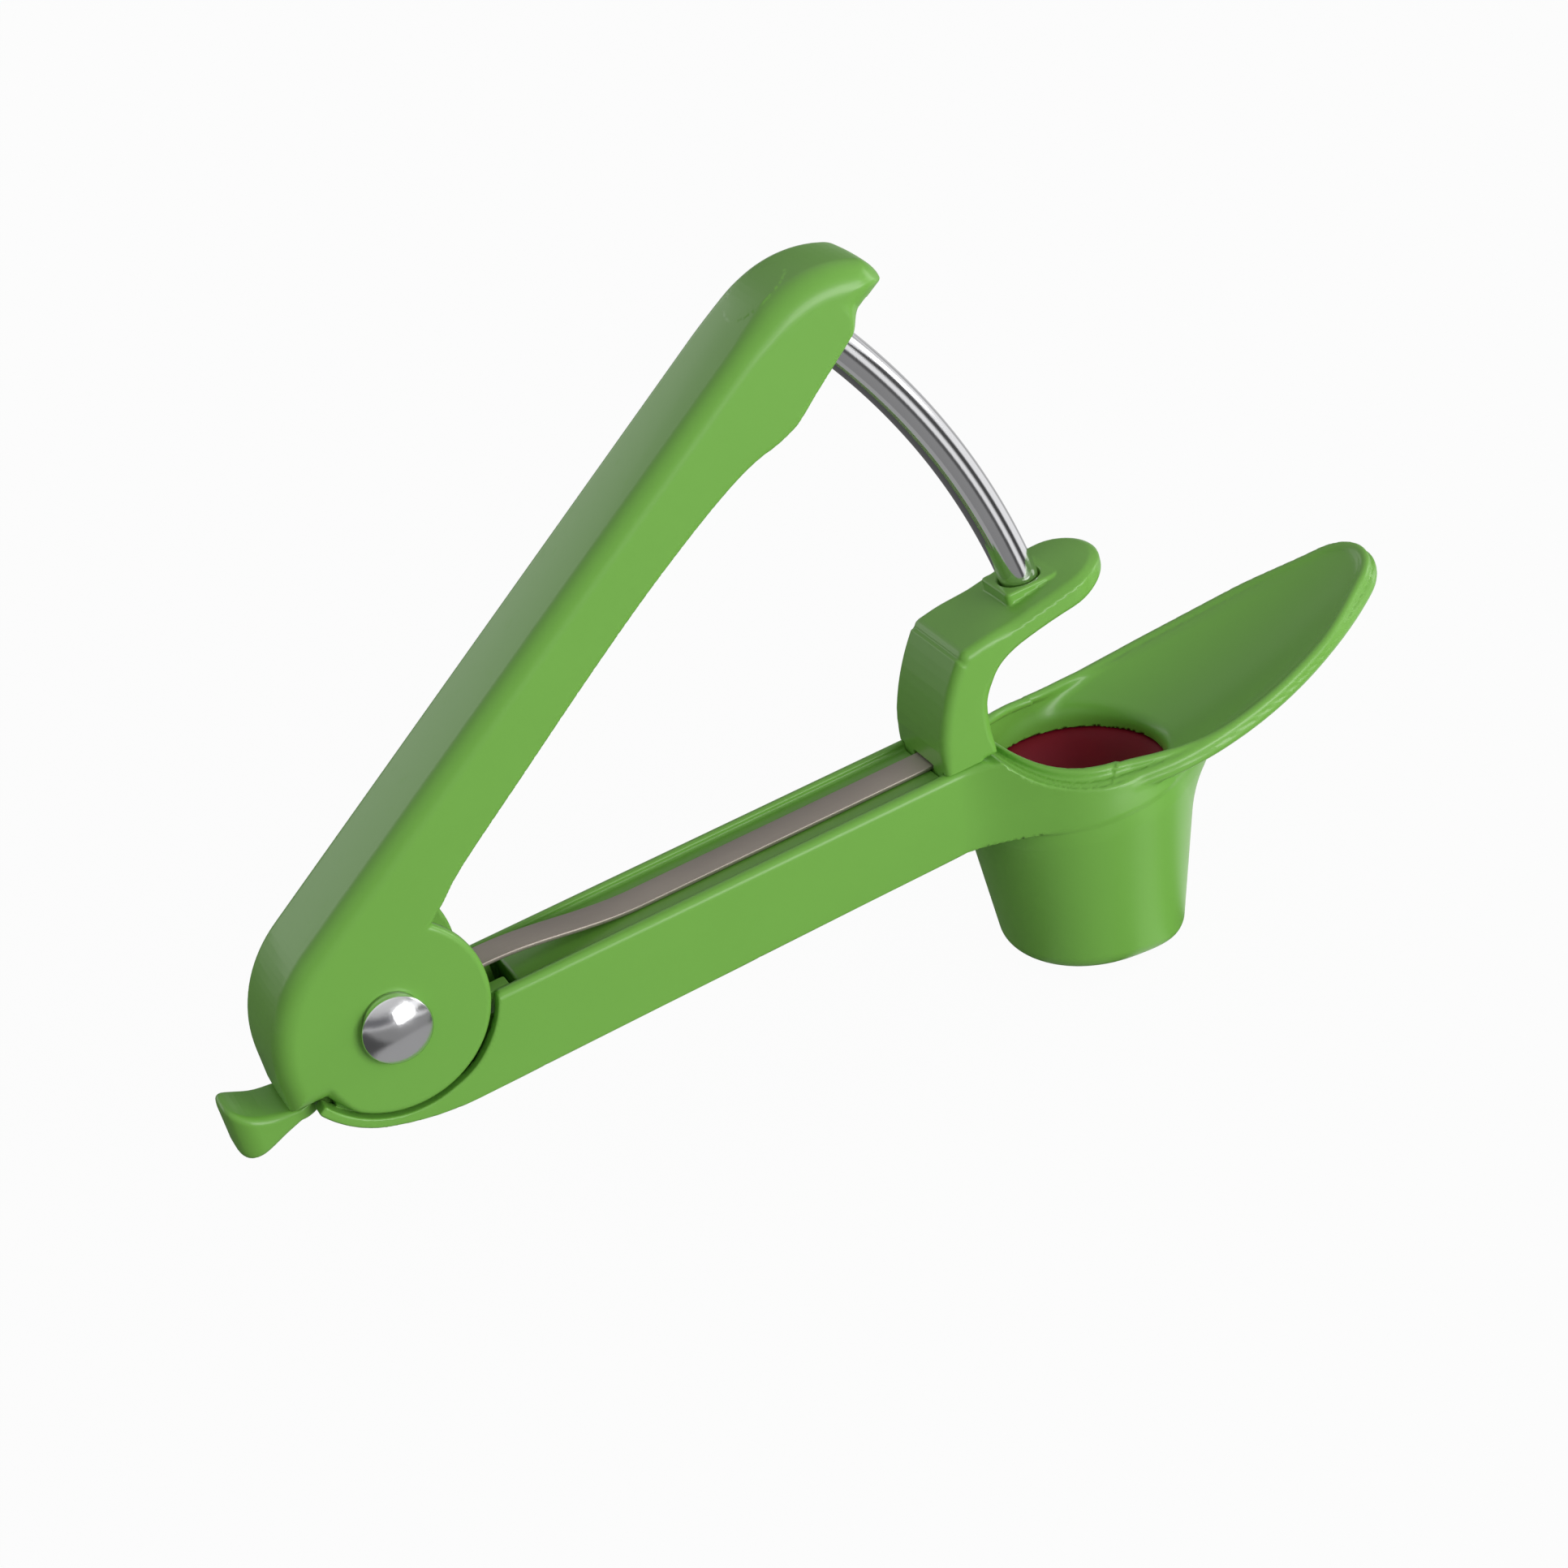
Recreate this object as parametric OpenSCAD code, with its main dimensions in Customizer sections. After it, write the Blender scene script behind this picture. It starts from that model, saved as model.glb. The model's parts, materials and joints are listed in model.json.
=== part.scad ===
// Hand-held cherry pitter: a lever with an arched punch over an arm with a cup and a scoop.
// All shapes are drawn about the pivot axis (origin, axis along Y), then moved as one, so that
// the base lies at z = 0 under the middle of the bounding box.

/* [Arm] */
// Outside width of the lower arm and of the lever
arm_w = 17.6; // [15:0.2:20]
// Wall thickness of the lower arm
arm_wall = 2.0; // [1.6:0.1:2.4]
// Height of the arm's top edges below the pivot axis
arm_top = 4.0; // [3.7:0.1:4.3]
// Depth of the arm's underside below the pivot axis
arm_bottom = 18.6; // [18.2:0.1:19.4]
// Thickness of the arm's floor under the pivot and under the guide post
arm_floor = 2.0; // [1.4:0.1:2.4]
// Depth of the shallow trough along the arm's top, in which the spring lies
deck_drop = 1.1; // [0.9:0.1:1.4]
// Thickness of the deck under the spring
deck_t = 2.0; // [1.6:0.1:2.6]

/* [Pivot] */
// Radius of the lever's round cheeks
cheek_r = 15.6; // [15:0.1:16]
// Gap round the cheeks
cheek_gap = 0.6; // [0.3:0.05:0.8]
// Thickness of the thin lip of the arm's floor under the cheeks
lip_t = 1.0; // [0.8:0.1:1.6]
// Radius of the inner ears that carry the pin
ear_r = 10.2; // [9:0.1:10.4]
// Thickness of an inner ear
ear_t = 1.9; // [1.4:0.1:2.1]
// Radius of the pin
pin_r = 2.5; // [2:0.1:2.7]
// Running clearance of the pin in the lever's cheeks, on the radius
pin_fit = 0.05; // [0.03:0.01:0.09]
// Radius of the domed rivet heads
head_r = 5.4; // [4.5:0.1:6.5]
// Height of the domed rivet heads
head_h = 2.3; // [1.5:0.1:3]

/* [Lever] */
// Angle of the open lever above the arm
open_a = 34.5; // [33:0.5:36]
// Height of the lever's back above its own axis, near the pivot
back_near = 17.1; // [16.8:0.1:17.6]
// Height of the lever's back above its own axis, where the nose begins
back_far = 16.2; // [15.8:0.1:16.6]
// Distance from the pivot to the centre of the nose's arch
arch_u = 113.5; // [113:0.1:114]
// Radius of the nose's arched top
nose_arch = 19; // [17:0.5:21]
// Rounding of the nose's lower front edge
chin_r = 3; // [2.5:0.1:4]
// Rounding of the nose's two front corners
nose_corner = 4; // [3:0.1:4.5]
// Wall thickness of the lever
lever_wall = 2.0; // [1.6:0.1:2.4]
// Rounding of the two long edges of the back
back_round = 3.0; // [2:0.1:4]

/* [Punch] */
// Radius of the arc that the punch is bent to, about the pivot
punch_arc = 118.2; // [117:0.1:119]
// Radius of the punch rod
punch_r = 3.05; // [2.6:0.05:3.3]
// Angle of the punch's tip above the arm with the lever open
tip_a = 7.0; // [6.5:0.1:7.5]
// Angle of the punch's root above the arm with the lever open
root_a = 41.0; // [40:0.2:41.4]
// Wall of the boss that holds the punch's root
boss_wall = 2.0; // [1.5:0.1:2.5]

/* [Guide] */
// Front-to-back place of the guide post's back face at the arm's top
post_x = 93.4; // [92:0.1:94]
// Length of the guide post's foot along the arm
foot_l = 8.6; // [8:0.1:9.4]
// Height of the bend of the guide post above the pivot axis
bend_z = 14.2; // [13.6:0.1:14.6]
// Rise of the guide plate along its length
plate_slope = 12; // [10:0.5:13]
// Thickness of the guide plate
plate_t = 3.6; // [2.8:0.1:4]
// Clearance of the punch in the guide hole, on the radius
guide_fit = 0.3; // [0.2:0.05:0.6]
// Width of the low square collar round the guide hole
collar_w = 10; // [9:0.2:11]
// Height of the collar above the plate
collar_h = 1.2; // [0.8:0.1:1.5]

/* [Cup] */
// Front-to-back place of the cup's base centre
cup_x = 114.45; // [113.5:0.05:115.5]
// Depth of the cup's base centre below the pivot axis
cup_z = 47.2; // [45:0.2:50]
// Lean of the cup's axis towards the scoop
cup_lean = 6.9; // [5.5:0.1:8]
// Outside radius of the cup at its base
cup_r = 14.6; // [14:0.1:15.4]
// Outside radius of the cup at its widest
cup_wide_r = 19; // [18.4:0.1:19.4]
// Height of the cup's widest ring along its axis
cup_wide_h = 28; // [26:0.5:30]
// Wall thickness of the cup
cup_wall = 1.8; // [1.4:0.1:2.2]
// Radius of the pit outlet in the base
outlet_r = 9; // [7:0.5:10.5]
// Rounding of the cup's bottom edge
base_round = 3; // [2:0.1:3.6]

/* [Scoop] */
// Full width of the scoop
scoop_w = 38; // [36:0.5:40]
// Front-to-back place of the scoop's widest part
scoop_mid = 130; // [128:0.5:132]
// Front-to-back place of the scoop's tip
scoop_tip = 177.2; // [175:0.2:180]
// Radius of the scoop's long side curves seen from above
side_arc = 90; // [84:1:100]
// Wall thickness of the scoop
scoop_wall = 2.2; // [1.8:0.1:2.6]
// Radius of the scoop's floor along its length
floor_arc = 129; // [125:1:133]
// Radius of the scoop's floor across its width
floor_cross = 32; // [28:1:36]
// Depth of the rim's lowest point below the pivot axis
rim_low = 12.6; // [12:0.1:13.2]
// Radius of the rim's rise towards the tip, seen from the side
rim_arc = 144; // [138:1:150]

/* [Insert] */
// Thickness of the soft insert's web
insert_t = 1.6; // [1.2:0.1:2]
// Depth of the soft insert's dish
dish_d = 5.5; // [4:0.1:6]
// Clearance round the punch in the insert's hole
insert_fit = 0.9; // [0.5:0.1:1.6]

/* [Spring] */
// Width of the spring strip
strip_w = 5.6; // [5:0.1:6.4]
// Thickness of the spring strip
strip_t = 0.8; // [0.6:0.05:0.9]
// Clearance between the strip's bend and the pin
bend_fit = 0.2; // [0.1:0.05:0.3]
// Length of the lower leg's end inside the guide post
grip_l = 2.2; // [1.4:0.1:3]
// Distance of the upper leg's end from the pivot
leg_up = 82; // [70:1:92]

/* [Lock] */
// Travel of the lock slider
lock_travel = 4; // [3:0.1:4.2]
// Width of the pull tab
tab_w = 10; // [8:0.2:10.2]
// Distance of the tab's end behind the pivot
tab_end = 27.8; // [26.5:0.1:29]
// Height of the tab's flared end
tab_h = 8; // [6:0.2:8.6]
// Thickness of the slider's neck
neck_t = 1.9; // [1.5:0.1:2.1]
// Depth of the neck's top below the pivot axis
neck_top = 9.3; // [9.1:0.1:9.5]
// Sliding clearance of the lock
lock_fit = 0.3; // [0.2:0.05:0.4]

/* [Hidden] */
$fn = 96;
e = 0.01;
half_w = arm_w/2;
inner_y = half_w-arm_wall;
side_gap = 0.3;
ear_out = half_w-lever_wall-side_gap;
ear_in = ear_out-ear_t;
lip_in = cheek_r+cheek_gap;
lip_out = lip_in+lip_t;
floor_z = -arm_bottom+arm_floor;

// Underside blend: one arc that touches the round lip and the flat underside
under_r = 40;
under_x = sqrt(pow(under_r-lip_out, 2)-pow(under_r-arm_bottom, 2));
under_a = atan2(arm_bottom-under_r, -under_x);

// Lip end and the slot for the lock's neck
lip_end_a = 212;
slot_half = tab_w/2+lock_fit;
slot_low = neck_top+neck_t+lock_fit;
slot_x1 = sqrt(pow(lip_in, 2)-pow(slot_low, 2))-0.4;

// Well for the lock and the spring's bend, then the deck with the open hollow under it
well_x0 = 4.2;
deck_x0 = 20;
deck_z = -arm_top-deck_drop;

// Cup
cup_base = [cup_x, 0, -cup_z];
cup_grow = (cup_wide_r-cup_r)/cup_wide_h;
cup_rim_h = 36;
cup_rim_r = cup_wide_r-1.6;
seat_h = cup_wide_h-0.5;
seat_step = 1.3;
seat_r = cup_wide_r-cup_wall;
outlet_t = 2;

// Scoop
scoop_half = scoop_w/2;
tip_r = (pow(side_arc, 2)-pow(side_arc-scoop_half, 2)-pow(scoop_tip-scoop_mid, 2))
    /(2*(side_arc-(scoop_tip-scoop_mid)));
tip_x = scoop_tip-tip_r;
floor_low = 18.8;
floor_x = 113.7;
rim_x = 123;
mouth_x = cup_x+cup_rim_h*tan(cup_lean);
join_x = mouth_x+5;
fillet_r = 8;

// Guide post
foot_x = post_x+foot_l;
post_half = half_w-0.1;
bend_x = post_x+7.8;
post_bow = 1.3;
plate_end = 130.2;
inner_bend = 10;
tenon_end = foot_x-1.8;
tenon_half = inner_y;

// Where the punch's arc passes the guide plate's top
plate_rise = tan(plate_slope);
plate_zero = bend_z-bend_x*plate_rise;
hole_x = (sqrt(pow(punch_arc, 2)*(1+pow(plate_rise, 2))-pow(plate_zero, 2))-plate_rise*plate_zero)
    /(1+pow(plate_rise, 2));

// Spring
bend_r = pin_r+bend_fit;
leg_gap = 0.1;
leg_z = -arm_top-deck_drop+leg_gap+strip_t/2;
leg_low = post_x+grip_l;
bow_z = -1.9;
bow_x = 17;
leg_flat = 43;

// Lever, in its own frame: the straight back falls gently to the nose. The nose's arch and the
// curve behind the pivot both touch it, and the rounded chin touches the arch from inside
function back_v(u) = back_near+(back_far-back_near)*u/arch_u;
back_fall = atan2(back_near-back_far, arch_u);
back_up = [sin(back_fall), cos(back_fall)];
arch_v = back_v(arch_u+nose_arch*back_up[0])-nose_arch*back_up[1];
chin_v = 3;
chin_a = asin((chin_v+chin_r-arch_v)/(nose_arch-chin_r));
nose_end = arch_u+(nose_arch-chin_r)*cos(chin_a)+chin_r;
wrap_u = 0.4;
wrap_r = 21.85;
wrap_low = -8.4;
wrap_mid = [wrap_u, back_v(wrap_u)]-wrap_r*back_up;
wrap_c = [wrap_mid[0]*cos(open_a)-wrap_mid[1]*sin(open_a),
    wrap_mid[0]*sin(open_a)+wrap_mid[1]*cos(open_a)];

// Angle of the spring's upper leg, whose end lies just under the roof of the lever's hollow
up_gap = 0.25;
up_a = open_a+asin((back_v(leg_up)-lever_wall-up_gap-bend_r-strip_t)/leg_up);

// Closing angle of the lever, and the lock: catches on the cheeks' inner faces, at their angles
// with the lever open, and hooks that come over them when the slider is pulled out
close_a = 27;
catch_r0 = 11.2;
catch_r1 = 13.2;
catch_a0 = -15;
catch_a1 = -7;
catch_in = 4.0;
hook_gap = 0.4;
hook_x = catch_r1+hook_gap;
hook_z = catch_r0*sin(catch_a1-close_a)+hook_gap;
hook_t = 1.5;
hook_l = 2.9;
block_x0 = 2;
block_end = hook_x+lock_travel+1;
neck_bottom = neck_top+neck_t;
neck_wide = 13;
ear_foot = 7;
ear_foot_a0 = 222;
ear_foot_a1 = 269;
rail_w = 0.8;

// Where the pivot lies in the finished frame
bbox_mid = (scoop_tip-tab_end)/2;
base_drop = cup_z+(cup_r-base_round)*sin(cup_lean);
pivot = [-bbox_mid, 0, base_drop];

green = [0.47, 0.71, 0.31];
crimson = [0.40, 0.08, 0.14];
steel = [0.56, 0.51, 0.48];
chrome = [0.80, 0.80, 0.83];

function arc_points(c, r, a0, a1, n) = [for (i = [0:n]) let (a = a0+(a1-a0)*i/n) c+r*[cos(a), sin(a)]];
function rim_z(x) = -rim_low+rim_arc-sqrt(pow(rim_arc, 2)-pow(x-rim_x, 2));

// Points from p to q on a line that bows to the left by rise
function bowed(p, q, rise, n) = let (d = q-p, left = [-d[1], d[0]]/norm(d))
    [for (i = [0:n]) let (t = i/n) p+d*t+left*4*rise*t*(1-t)];

// Puts a side profile, drawn in x and z, into space with the given width across
module side(w) {
    rotate([90, 0, 0])
        translate([0, 0, -w/2])
            linear_extrude(w)
                children();
}

// Turns a profile, drawn as radius and y, about the pivot axis from angle a0 to a1
module turned(a0, a1) {
    rotate([90, 0, 0])
        rotate([0, 0, a0])
            rotate_extrude(angle = a1-a0)
                children();
}

// A tube of radius r along the punch's arc
module punch_path(r, a0, a1) {
    turned(a0, a1)
        translate([punch_arc, 0])
            circle(r, $fn = 48);
}

// Turns the drawing frame to the cup's own axis
module at_cup() {
    translate(cup_base)
        rotate([0, cup_lean, 0])
            children();
}

// A ring sector in the side plane
module sector(r0, r1, a0, a1) {
    polygon(concat(arc_points([0, 0], r1, a0, a1, 24), arc_points([0, 0], r0, a1, a0, 24)));
}

// Side outline of the arm from the lip under the pivot to the cup
module arm_outline() {
    polygon(concat(
        [[cup_x+4, -arm_top], [0, -arm_top], [0, 0]],
        arc_points([0, 0], lip_out, lip_end_a, under_a+360, 16),
        arc_points([under_x, under_r-arm_bottom], under_r, under_a, -90, 8),
        [[cup_x+4, -arm_bottom+0.8]]));
}

// Everything above the rim line, from the guide post's foot to beyond the tip
module above_rim() {
    drop_x = foot_x+0.4;
    dip_x = foot_x+9.5;
    n = 16;
    side(2*scoop_w)
        polygon(concat(
            [[scoop_tip+20, 30], [drop_x, 30], [drop_x, -arm_top]],
            [for (i = [1:n]) let (t = i/n)
                [drop_x+(dip_x-drop_x)*t, -arm_top+(rim_z(dip_x)+arm_top)*(1-cos(180*t))/2]],
            [for (i = [1:24]) let (x = dip_x+(scoop_tip+20-dip_x)*i/24) [x, rim_z(x)]]));
}

// Outline of the scoop seen from above, drawn in by the given amount
module scoop_plan(inset) {
    off = side_arc-scoop_half;
    side_end = tip_x+tip_r*(tip_x-scoop_mid)/(side_arc-tip_r);
    intersection() {
        translate([scoop_mid, -off])
            circle(side_arc-inset, $fn = 360);
        translate([scoop_mid, off])
            circle(side_arc-inset, $fn = 360);
        translate([join_x, -scoop_w])
            square([side_end-join_x, 2*scoop_w]);
    }
    translate([tip_x, 0])
        circle(tip_r-inset);
    // Straight run from the cup's round rim to the side curves
    half = sqrt(pow(side_arc-inset, 2)-pow(join_x-scoop_mid, 2))-off;
    r = cup_rim_r-inset;
    a = atan2(half, join_x-mouth_x)+acos(r/norm([join_x-mouth_x, half]));
    polygon([[join_x+e, half], [mouth_x+r*cos(a), r*sin(a)], [mouth_x+r*cos(a), -r*sin(a)], [join_x+e, -half]]);
}

// Everything above the scoop's curved floor, or above a surface the given depth below it
module floor_above(thick) {
    side_r = floor_cross+thick;
    translate([floor_x, 0, floor_arc-floor_low])
        rotate([90, 0, 0])
            rotate_extrude($fn = 180)
                intersection() {
                    translate([floor_arc-floor_cross, 0])
                        circle(side_r);
                    translate([0, -scoop_w])
                        square([floor_arc+side_r, 2*scoop_w]);
                }
}

module scoop_outside() {
    intersection() {
        translate([0, 0, -scoop_w])
            linear_extrude(scoop_w)
                scoop_plan(0);
        floor_above(scoop_wall);
    }
}

module scoop_hollow() {
    intersection() {
        translate([0, 0, -2*scoop_w])
            linear_extrude(4*scoop_w) {
                scoop_plan(scoop_wall);
                translate([mouth_x, 0])
                    circle(cup_rim_r-scoop_wall);
            }
        floor_above(0);
    }
}

// Half section of the cup's outside, from its axis
module cup_outside() {
    polygon(concat(
        [[0, 0]],
        arc_points([cup_r-base_round+cup_grow*base_round, base_round], base_round, -90, -8, 6),
        [[cup_wide_r, cup_wide_h]],
        [for (i = [1:6]) let (t = i/6)
            [cup_wide_r-(cup_wide_r-cup_rim_r)*pow(t, 1.7), cup_wide_h+(cup_rim_h-cup_wide_h)*t]],
        [[cup_rim_r, cup_rim_h+4], [0, cup_rim_h+4]]));
}

// Half section of the cup's hollow, with the seat for the insert
module cup_inside() {
    low_r = cup_r+cup_grow*outlet_t-cup_wall;
    high_r = cup_r+cup_grow*seat_h-cup_wall-seat_step;
    polygon([[0, -1], [outlet_r, -1], [outlet_r, outlet_t], [low_r, outlet_t], [high_r, seat_h-1],
        [high_r, seat_h], [seat_r, seat_h], [seat_r, seat_h+insert_t], [cup_rim_r-cup_wall, cup_rim_h],
        [cup_rim_r-cup_wall, cup_rim_h+6], [0, cup_rim_h+6]]);
}

// Rounded corner between the arm's flat side and the cup's round side, seen from above
module side_fillet() {
    reach = sqrt(pow(cup_rim_r+fillet_r, 2)-pow(half_w+fillet_r, 2));
    touch_y = cup_rim_r*(half_w+fillet_r)/(cup_rim_r+fillet_r);
    translate([mouth_x-reach, 0])
        difference() {
            translate([0, half_w-1])
                square([reach, touch_y-half_w+1]);
            translate([0, half_w+fillet_r])
                circle(fillet_r);
        }
}

module lower_arm() {
    color(green)
        translate(pivot) {
            difference() {
                union() {
                    side(arm_w)
                        arm_outline();
                    translate([0, 0, -arm_bottom+0.8])
                        linear_extrude(arm_bottom-arm_top-0.8) {
                            side_fillet();
                            mirror([0, 1])
                                side_fillet();
                        }
                    at_cup()
                        rotate_extrude()
                            cup_outside();
                    scoop_outside();
                }
                // Well for the lock, trough for the spring and socket for the guide post's tenon
                side(2*inner_y)
                    polygon([[well_x0, floor_z], [deck_x0, floor_z], [deck_x0, deck_z], [post_x, deck_z],
                        [post_x, floor_z], [tenon_end, floor_z], [tenon_end, 20], [well_x0, 20]]);
                // Hollow under the deck, open below
                side(2*inner_y)
                    polygon([[deck_x0+arm_wall, -arm_bottom-1], [post_x-arm_wall, -arm_bottom-1],
                        [post_x-arm_wall, deck_z-deck_t], [deck_x0+arm_wall, deck_z-deck_t]]);
                // Room for the lever's cheeks and for the ears' front ends
                side(arm_w+2)
                    circle(lip_in, $fn = 180);
                at_cup()
                    rotate_extrude()
                        cup_inside();
                scoop_hollow();
                above_rim();
                // Slot in the lip for the lock's neck
                translate([-lip_out-1, -slot_half, -slot_low])
                    cube([lip_out+1-slot_x1, 2*slot_half, 20]);
            }
            for (s = [-1, 1])
                translate([0, s*(ear_in+ear_t/2), 0])
                    ear(s);
        }
}

// One inner ear: a disc on a foot that stands on the arm's floor
module ear(s) {
    difference() {
        union() {
            side(ear_t)
                difference() {
                    union() {
                        circle(ear_r);
                        polygon(concat([[-ear_r, 0]],
                            arc_points([0, 0], lip_in+e, ear_foot_a0, ear_foot_a1, 12),
                            [[0, floor_z-e], [ear_foot, floor_z-e], [ear_foot, 0]]));
                    }
                    polygon([[-30, -neck_top], [-30, 10], [-ear_r-e, 10], [-ear_r-e, -neck_top]]);
                }
            // Rail that keeps the slider down
            translate([-4, -ear_t/2-s*rail_w, -neck_top+lock_fit])
                cube([10, ear_t, 1]);
        }
        side(ear_t+4)
            circle(pin_r);
    }
}

// Side outline of the guide post with its tenon
module post_outline() {
    top_end = bend_z+(plate_end-bend_x)*plate_rise;
    low_end = top_end-plate_t/cos(plate_slope);
    low_z = low_end+(foot_x+inner_bend-plate_end)*plate_rise;
    difference() {
        polygon(concat(
            [[post_x, floor_z]],
            bowed([post_x, -arm_top], [bend_x, bend_z], post_bow, 10),
            [[plate_end, top_end], [plate_end, low_end]],
            arc_points([foot_x+inner_bend, low_z-inner_bend], inner_bend, 90+plate_slope, 180, 12),
            [[foot_x, -arm_top], [tenon_end, -arm_top], [tenon_end, floor_z]]));
        // Slot for the spring's end
        translate([post_x-1, leg_z-strip_t/2-0.1])
            square([leg_low-post_x+1.3, strip_t+0.2]);
    }
}

module guide_post() {
    tip_c = plate_end-post_half;
    color(green)
        translate(pivot)
            difference() {
                union() {
                    intersection() {
                        side(2*post_half)
                            post_outline();
                        union() {
                            translate([post_x-1, -post_half, -arm_top])
                                cube([tip_c-post_x+1, 2*post_half, 60]);
                            translate([tip_c, 0, -arm_top])
                                cylinder(h = 60, r = post_half);
                            translate([post_x-1, -tenon_half, floor_z-1])
                                cube([foot_l+1, 2*tenon_half, -arm_top-floor_z+1.5]);
                        }
                    }
                    // Low collar round the guide hole
                    translate([bend_x, 0, bend_z])
                        rotate([0, -plate_slope, 0])
                            translate([(hole_x-bend_x)/cos(plate_slope)-collar_w/2, -collar_w/2, -plate_t/2])
                                cube([collar_w, collar_w, plate_t/2+collar_h]);
                }
                punch_path(punch_r+guide_fit, 0, 20);
            }
}

module cup_insert() {
    rim_in = seat_r-0.6;
    dish_r = seat_r-seat_step-cup_wall;
    hub_r = 6.5;
    color(crimson)
        translate(pivot)
            difference() {
                at_cup()
                    translate([0, 0, seat_h])
                        rotate_extrude()
                            polygon([[0, -dish_d], [hub_r, -dish_d], [dish_r, -0.4], [dish_r, 0],
                                [seat_r, 0], [seat_r, insert_t], [rim_in-1.4, insert_t],
                                [hub_r-0.5, insert_t-dish_d], [0, insert_t-dish_d]]);
                punch_path(punch_r+insert_fit, -30, 0);
            }
}

// Bent strip: upper leg in the lever's hollow, bend round the pin, bowed lower leg
module return_spring() {
    color(steel)
        translate(pivot)
            side(strip_w)
                polygon(concat(
                    [for (p = lower_leg()) p+[0, -strip_t/2]],
                    arc_points([0, 0], bend_r+strip_t, 270, up_a+90, 24),
                    [upper_leg(bend_r+strip_t), upper_leg(bend_r)],
                    arc_points([0, 0], bend_r, up_a+90, 270, 24),
                    [for (i = [len(lower_leg())-1:-1:0]) lower_leg()[i]+[0, strip_t/2]]));
}

function upper_leg(r) = leg_up*[cos(up_a), sin(up_a)]+r*[-sin(up_a), cos(up_a)];

// Middle line of the lower leg from its end in the guide post to the bend
function lower_leg() = let (mid = -bend_r-strip_t/2) concat(
    [[leg_low, leg_z], [leg_flat, leg_z]],
    [for (i = [1:10]) let (t = i/10) [leg_flat+(bow_x-leg_flat)*t, leg_z+(bow_z-leg_z)*(1-cos(180*t))/2]],
    [for (i = [1:8]) let (t = i/8) [bow_x*(1-t), bow_z+(mid-bow_z)*(1-cos(180*t))/2]]);

module dome() {
    dome_r = (pow(head_r, 2)+pow(head_h, 2))/(2*head_h);
    intersection() {
        translate([0, 0, head_h-dome_r])
            sphere(dome_r, $fn = 96);
        cylinder(h = head_h+1, r = head_r);
    }
}

module pivot_rivet() {
    color(chrome)
        translate(pivot)
            rotate([90, 0, 0]) {
                translate([0, 0, half_w+0.1])
                    dome();
                translate([0, 0, -half_w-0.1])
                    cylinder(h = arm_w+0.2, r = pin_r);
                translate([0, 0, -half_w-1.2])
                    cylinder(h = arm_w, r = pin_r-0.8);
            }
}

module rivet_cap() {
    color(chrome)
        translate(pivot)
            rotate([-90, 0, 0])
                translate([0, 0, half_w+0.1])
                    difference() {
                        dome();
                        translate([0, 0, -1])
                            cylinder(h = 2.1, r = pin_r-0.8);
                    }
}

// Outline of the lever's side in its own frame, x along the lever, open above the back and the
// nose, whose surfaces come from front_back. The lower edge is given as distances back from the
// nose's end, with a dip behind the punch for the fingers
module lever_outline() {
    low_edge = [[6, 3.0], [12, 2.6], [19, 2.1], [24, 1.6], [26, 1.7], [29, 2.5], [32, 3.8], [36, 4.9],
        [42, 5.6], [50, 6.1], [60, 6.4], [74, 6.3], [90, 5.9], [105, 5.5], [111, 4.7], [116, 4.2]];
    chin = arc_points([nose_end-chin_r, chin_v+chin_r], chin_r, chin_a, -90, 8);
    above = back_near+5;
    polygon(concat(
        [[0, 0], [0, above], [nose_end+5, above], chin[0]+4*(chin[0]-chin[1])],
        [for (i = [1:len(chin)-1]) chin[i]],
        [for (p = low_edge) [nose_end-p[0], p[1]]]));
}

// The hollow between the lever's side walls, open below and towards the arm
module lever_hollow_outline() {
    hollow_end = nose_end-lever_wall;
    end_a = acos((hollow_end-arch_u)/(nose_arch-lever_wall));
    rotate([0, 0, open_a])
        polygon(concat(
            [[wrap_u, back_v(wrap_u)-lever_wall]],
            arc_points([arch_u, arch_v], nose_arch-lever_wall, 90-back_fall, end_a, 12),
            [[hollow_end, -20], [wrap_u, -20]]));
    polygon(concat(
        [[0, 0]],
        arc_points(wrap_c, wrap_r-lever_wall, 90+open_a-back_fall, 180, 20),
        [[wrap_c[0]-wrap_r+lever_wall, -30], [0, -30]]));
    circle(cheek_r+1, $fn = 180);
    polygon([[-13, 0], [0, -30], [30, -30], [30, 0]]);
}

// Section of the lever's back, drawn as height and y: full width, with two rounded upper edges
module back_section(low, high) {
    translate([low, -half_w])
        square([high-back_round-low, arm_w]);
    translate([low, -half_w+back_round])
        square([high-low, arm_w-2*back_round]);
    for (s = [-1, 1])
        translate([high-back_round, s*(half_w-back_round)])
            circle(back_round, $fn = 48);
}

// The long straight back and the nose's arch, which meet in one plane, in the lever's own frame
module front_back() {
    low = 2;
    back_run = (arch_u+nose_arch*back_up[0]-wrap_u)/back_up[1];
    translate([arch_u, 0, arch_v]) {
        turned(-10, 90-back_fall)
            back_section(low, nose_arch);
        rotate([0, back_fall-90, 0])
            linear_extrude(back_run)
                back_section(low, nose_arch);
    }
}

// The curve behind the pivot and its straight lower end
module rear_back() {
    translate([wrap_c[0], 0, wrap_c[1]]) {
        rotate([90, 0, 0])
            rotate_extrude($fn = 180)
                back_section(0, wrap_r);
        rotate([0, 180, 0])
            linear_extrude(30)
                back_section(0, wrap_r);
    }
}

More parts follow.
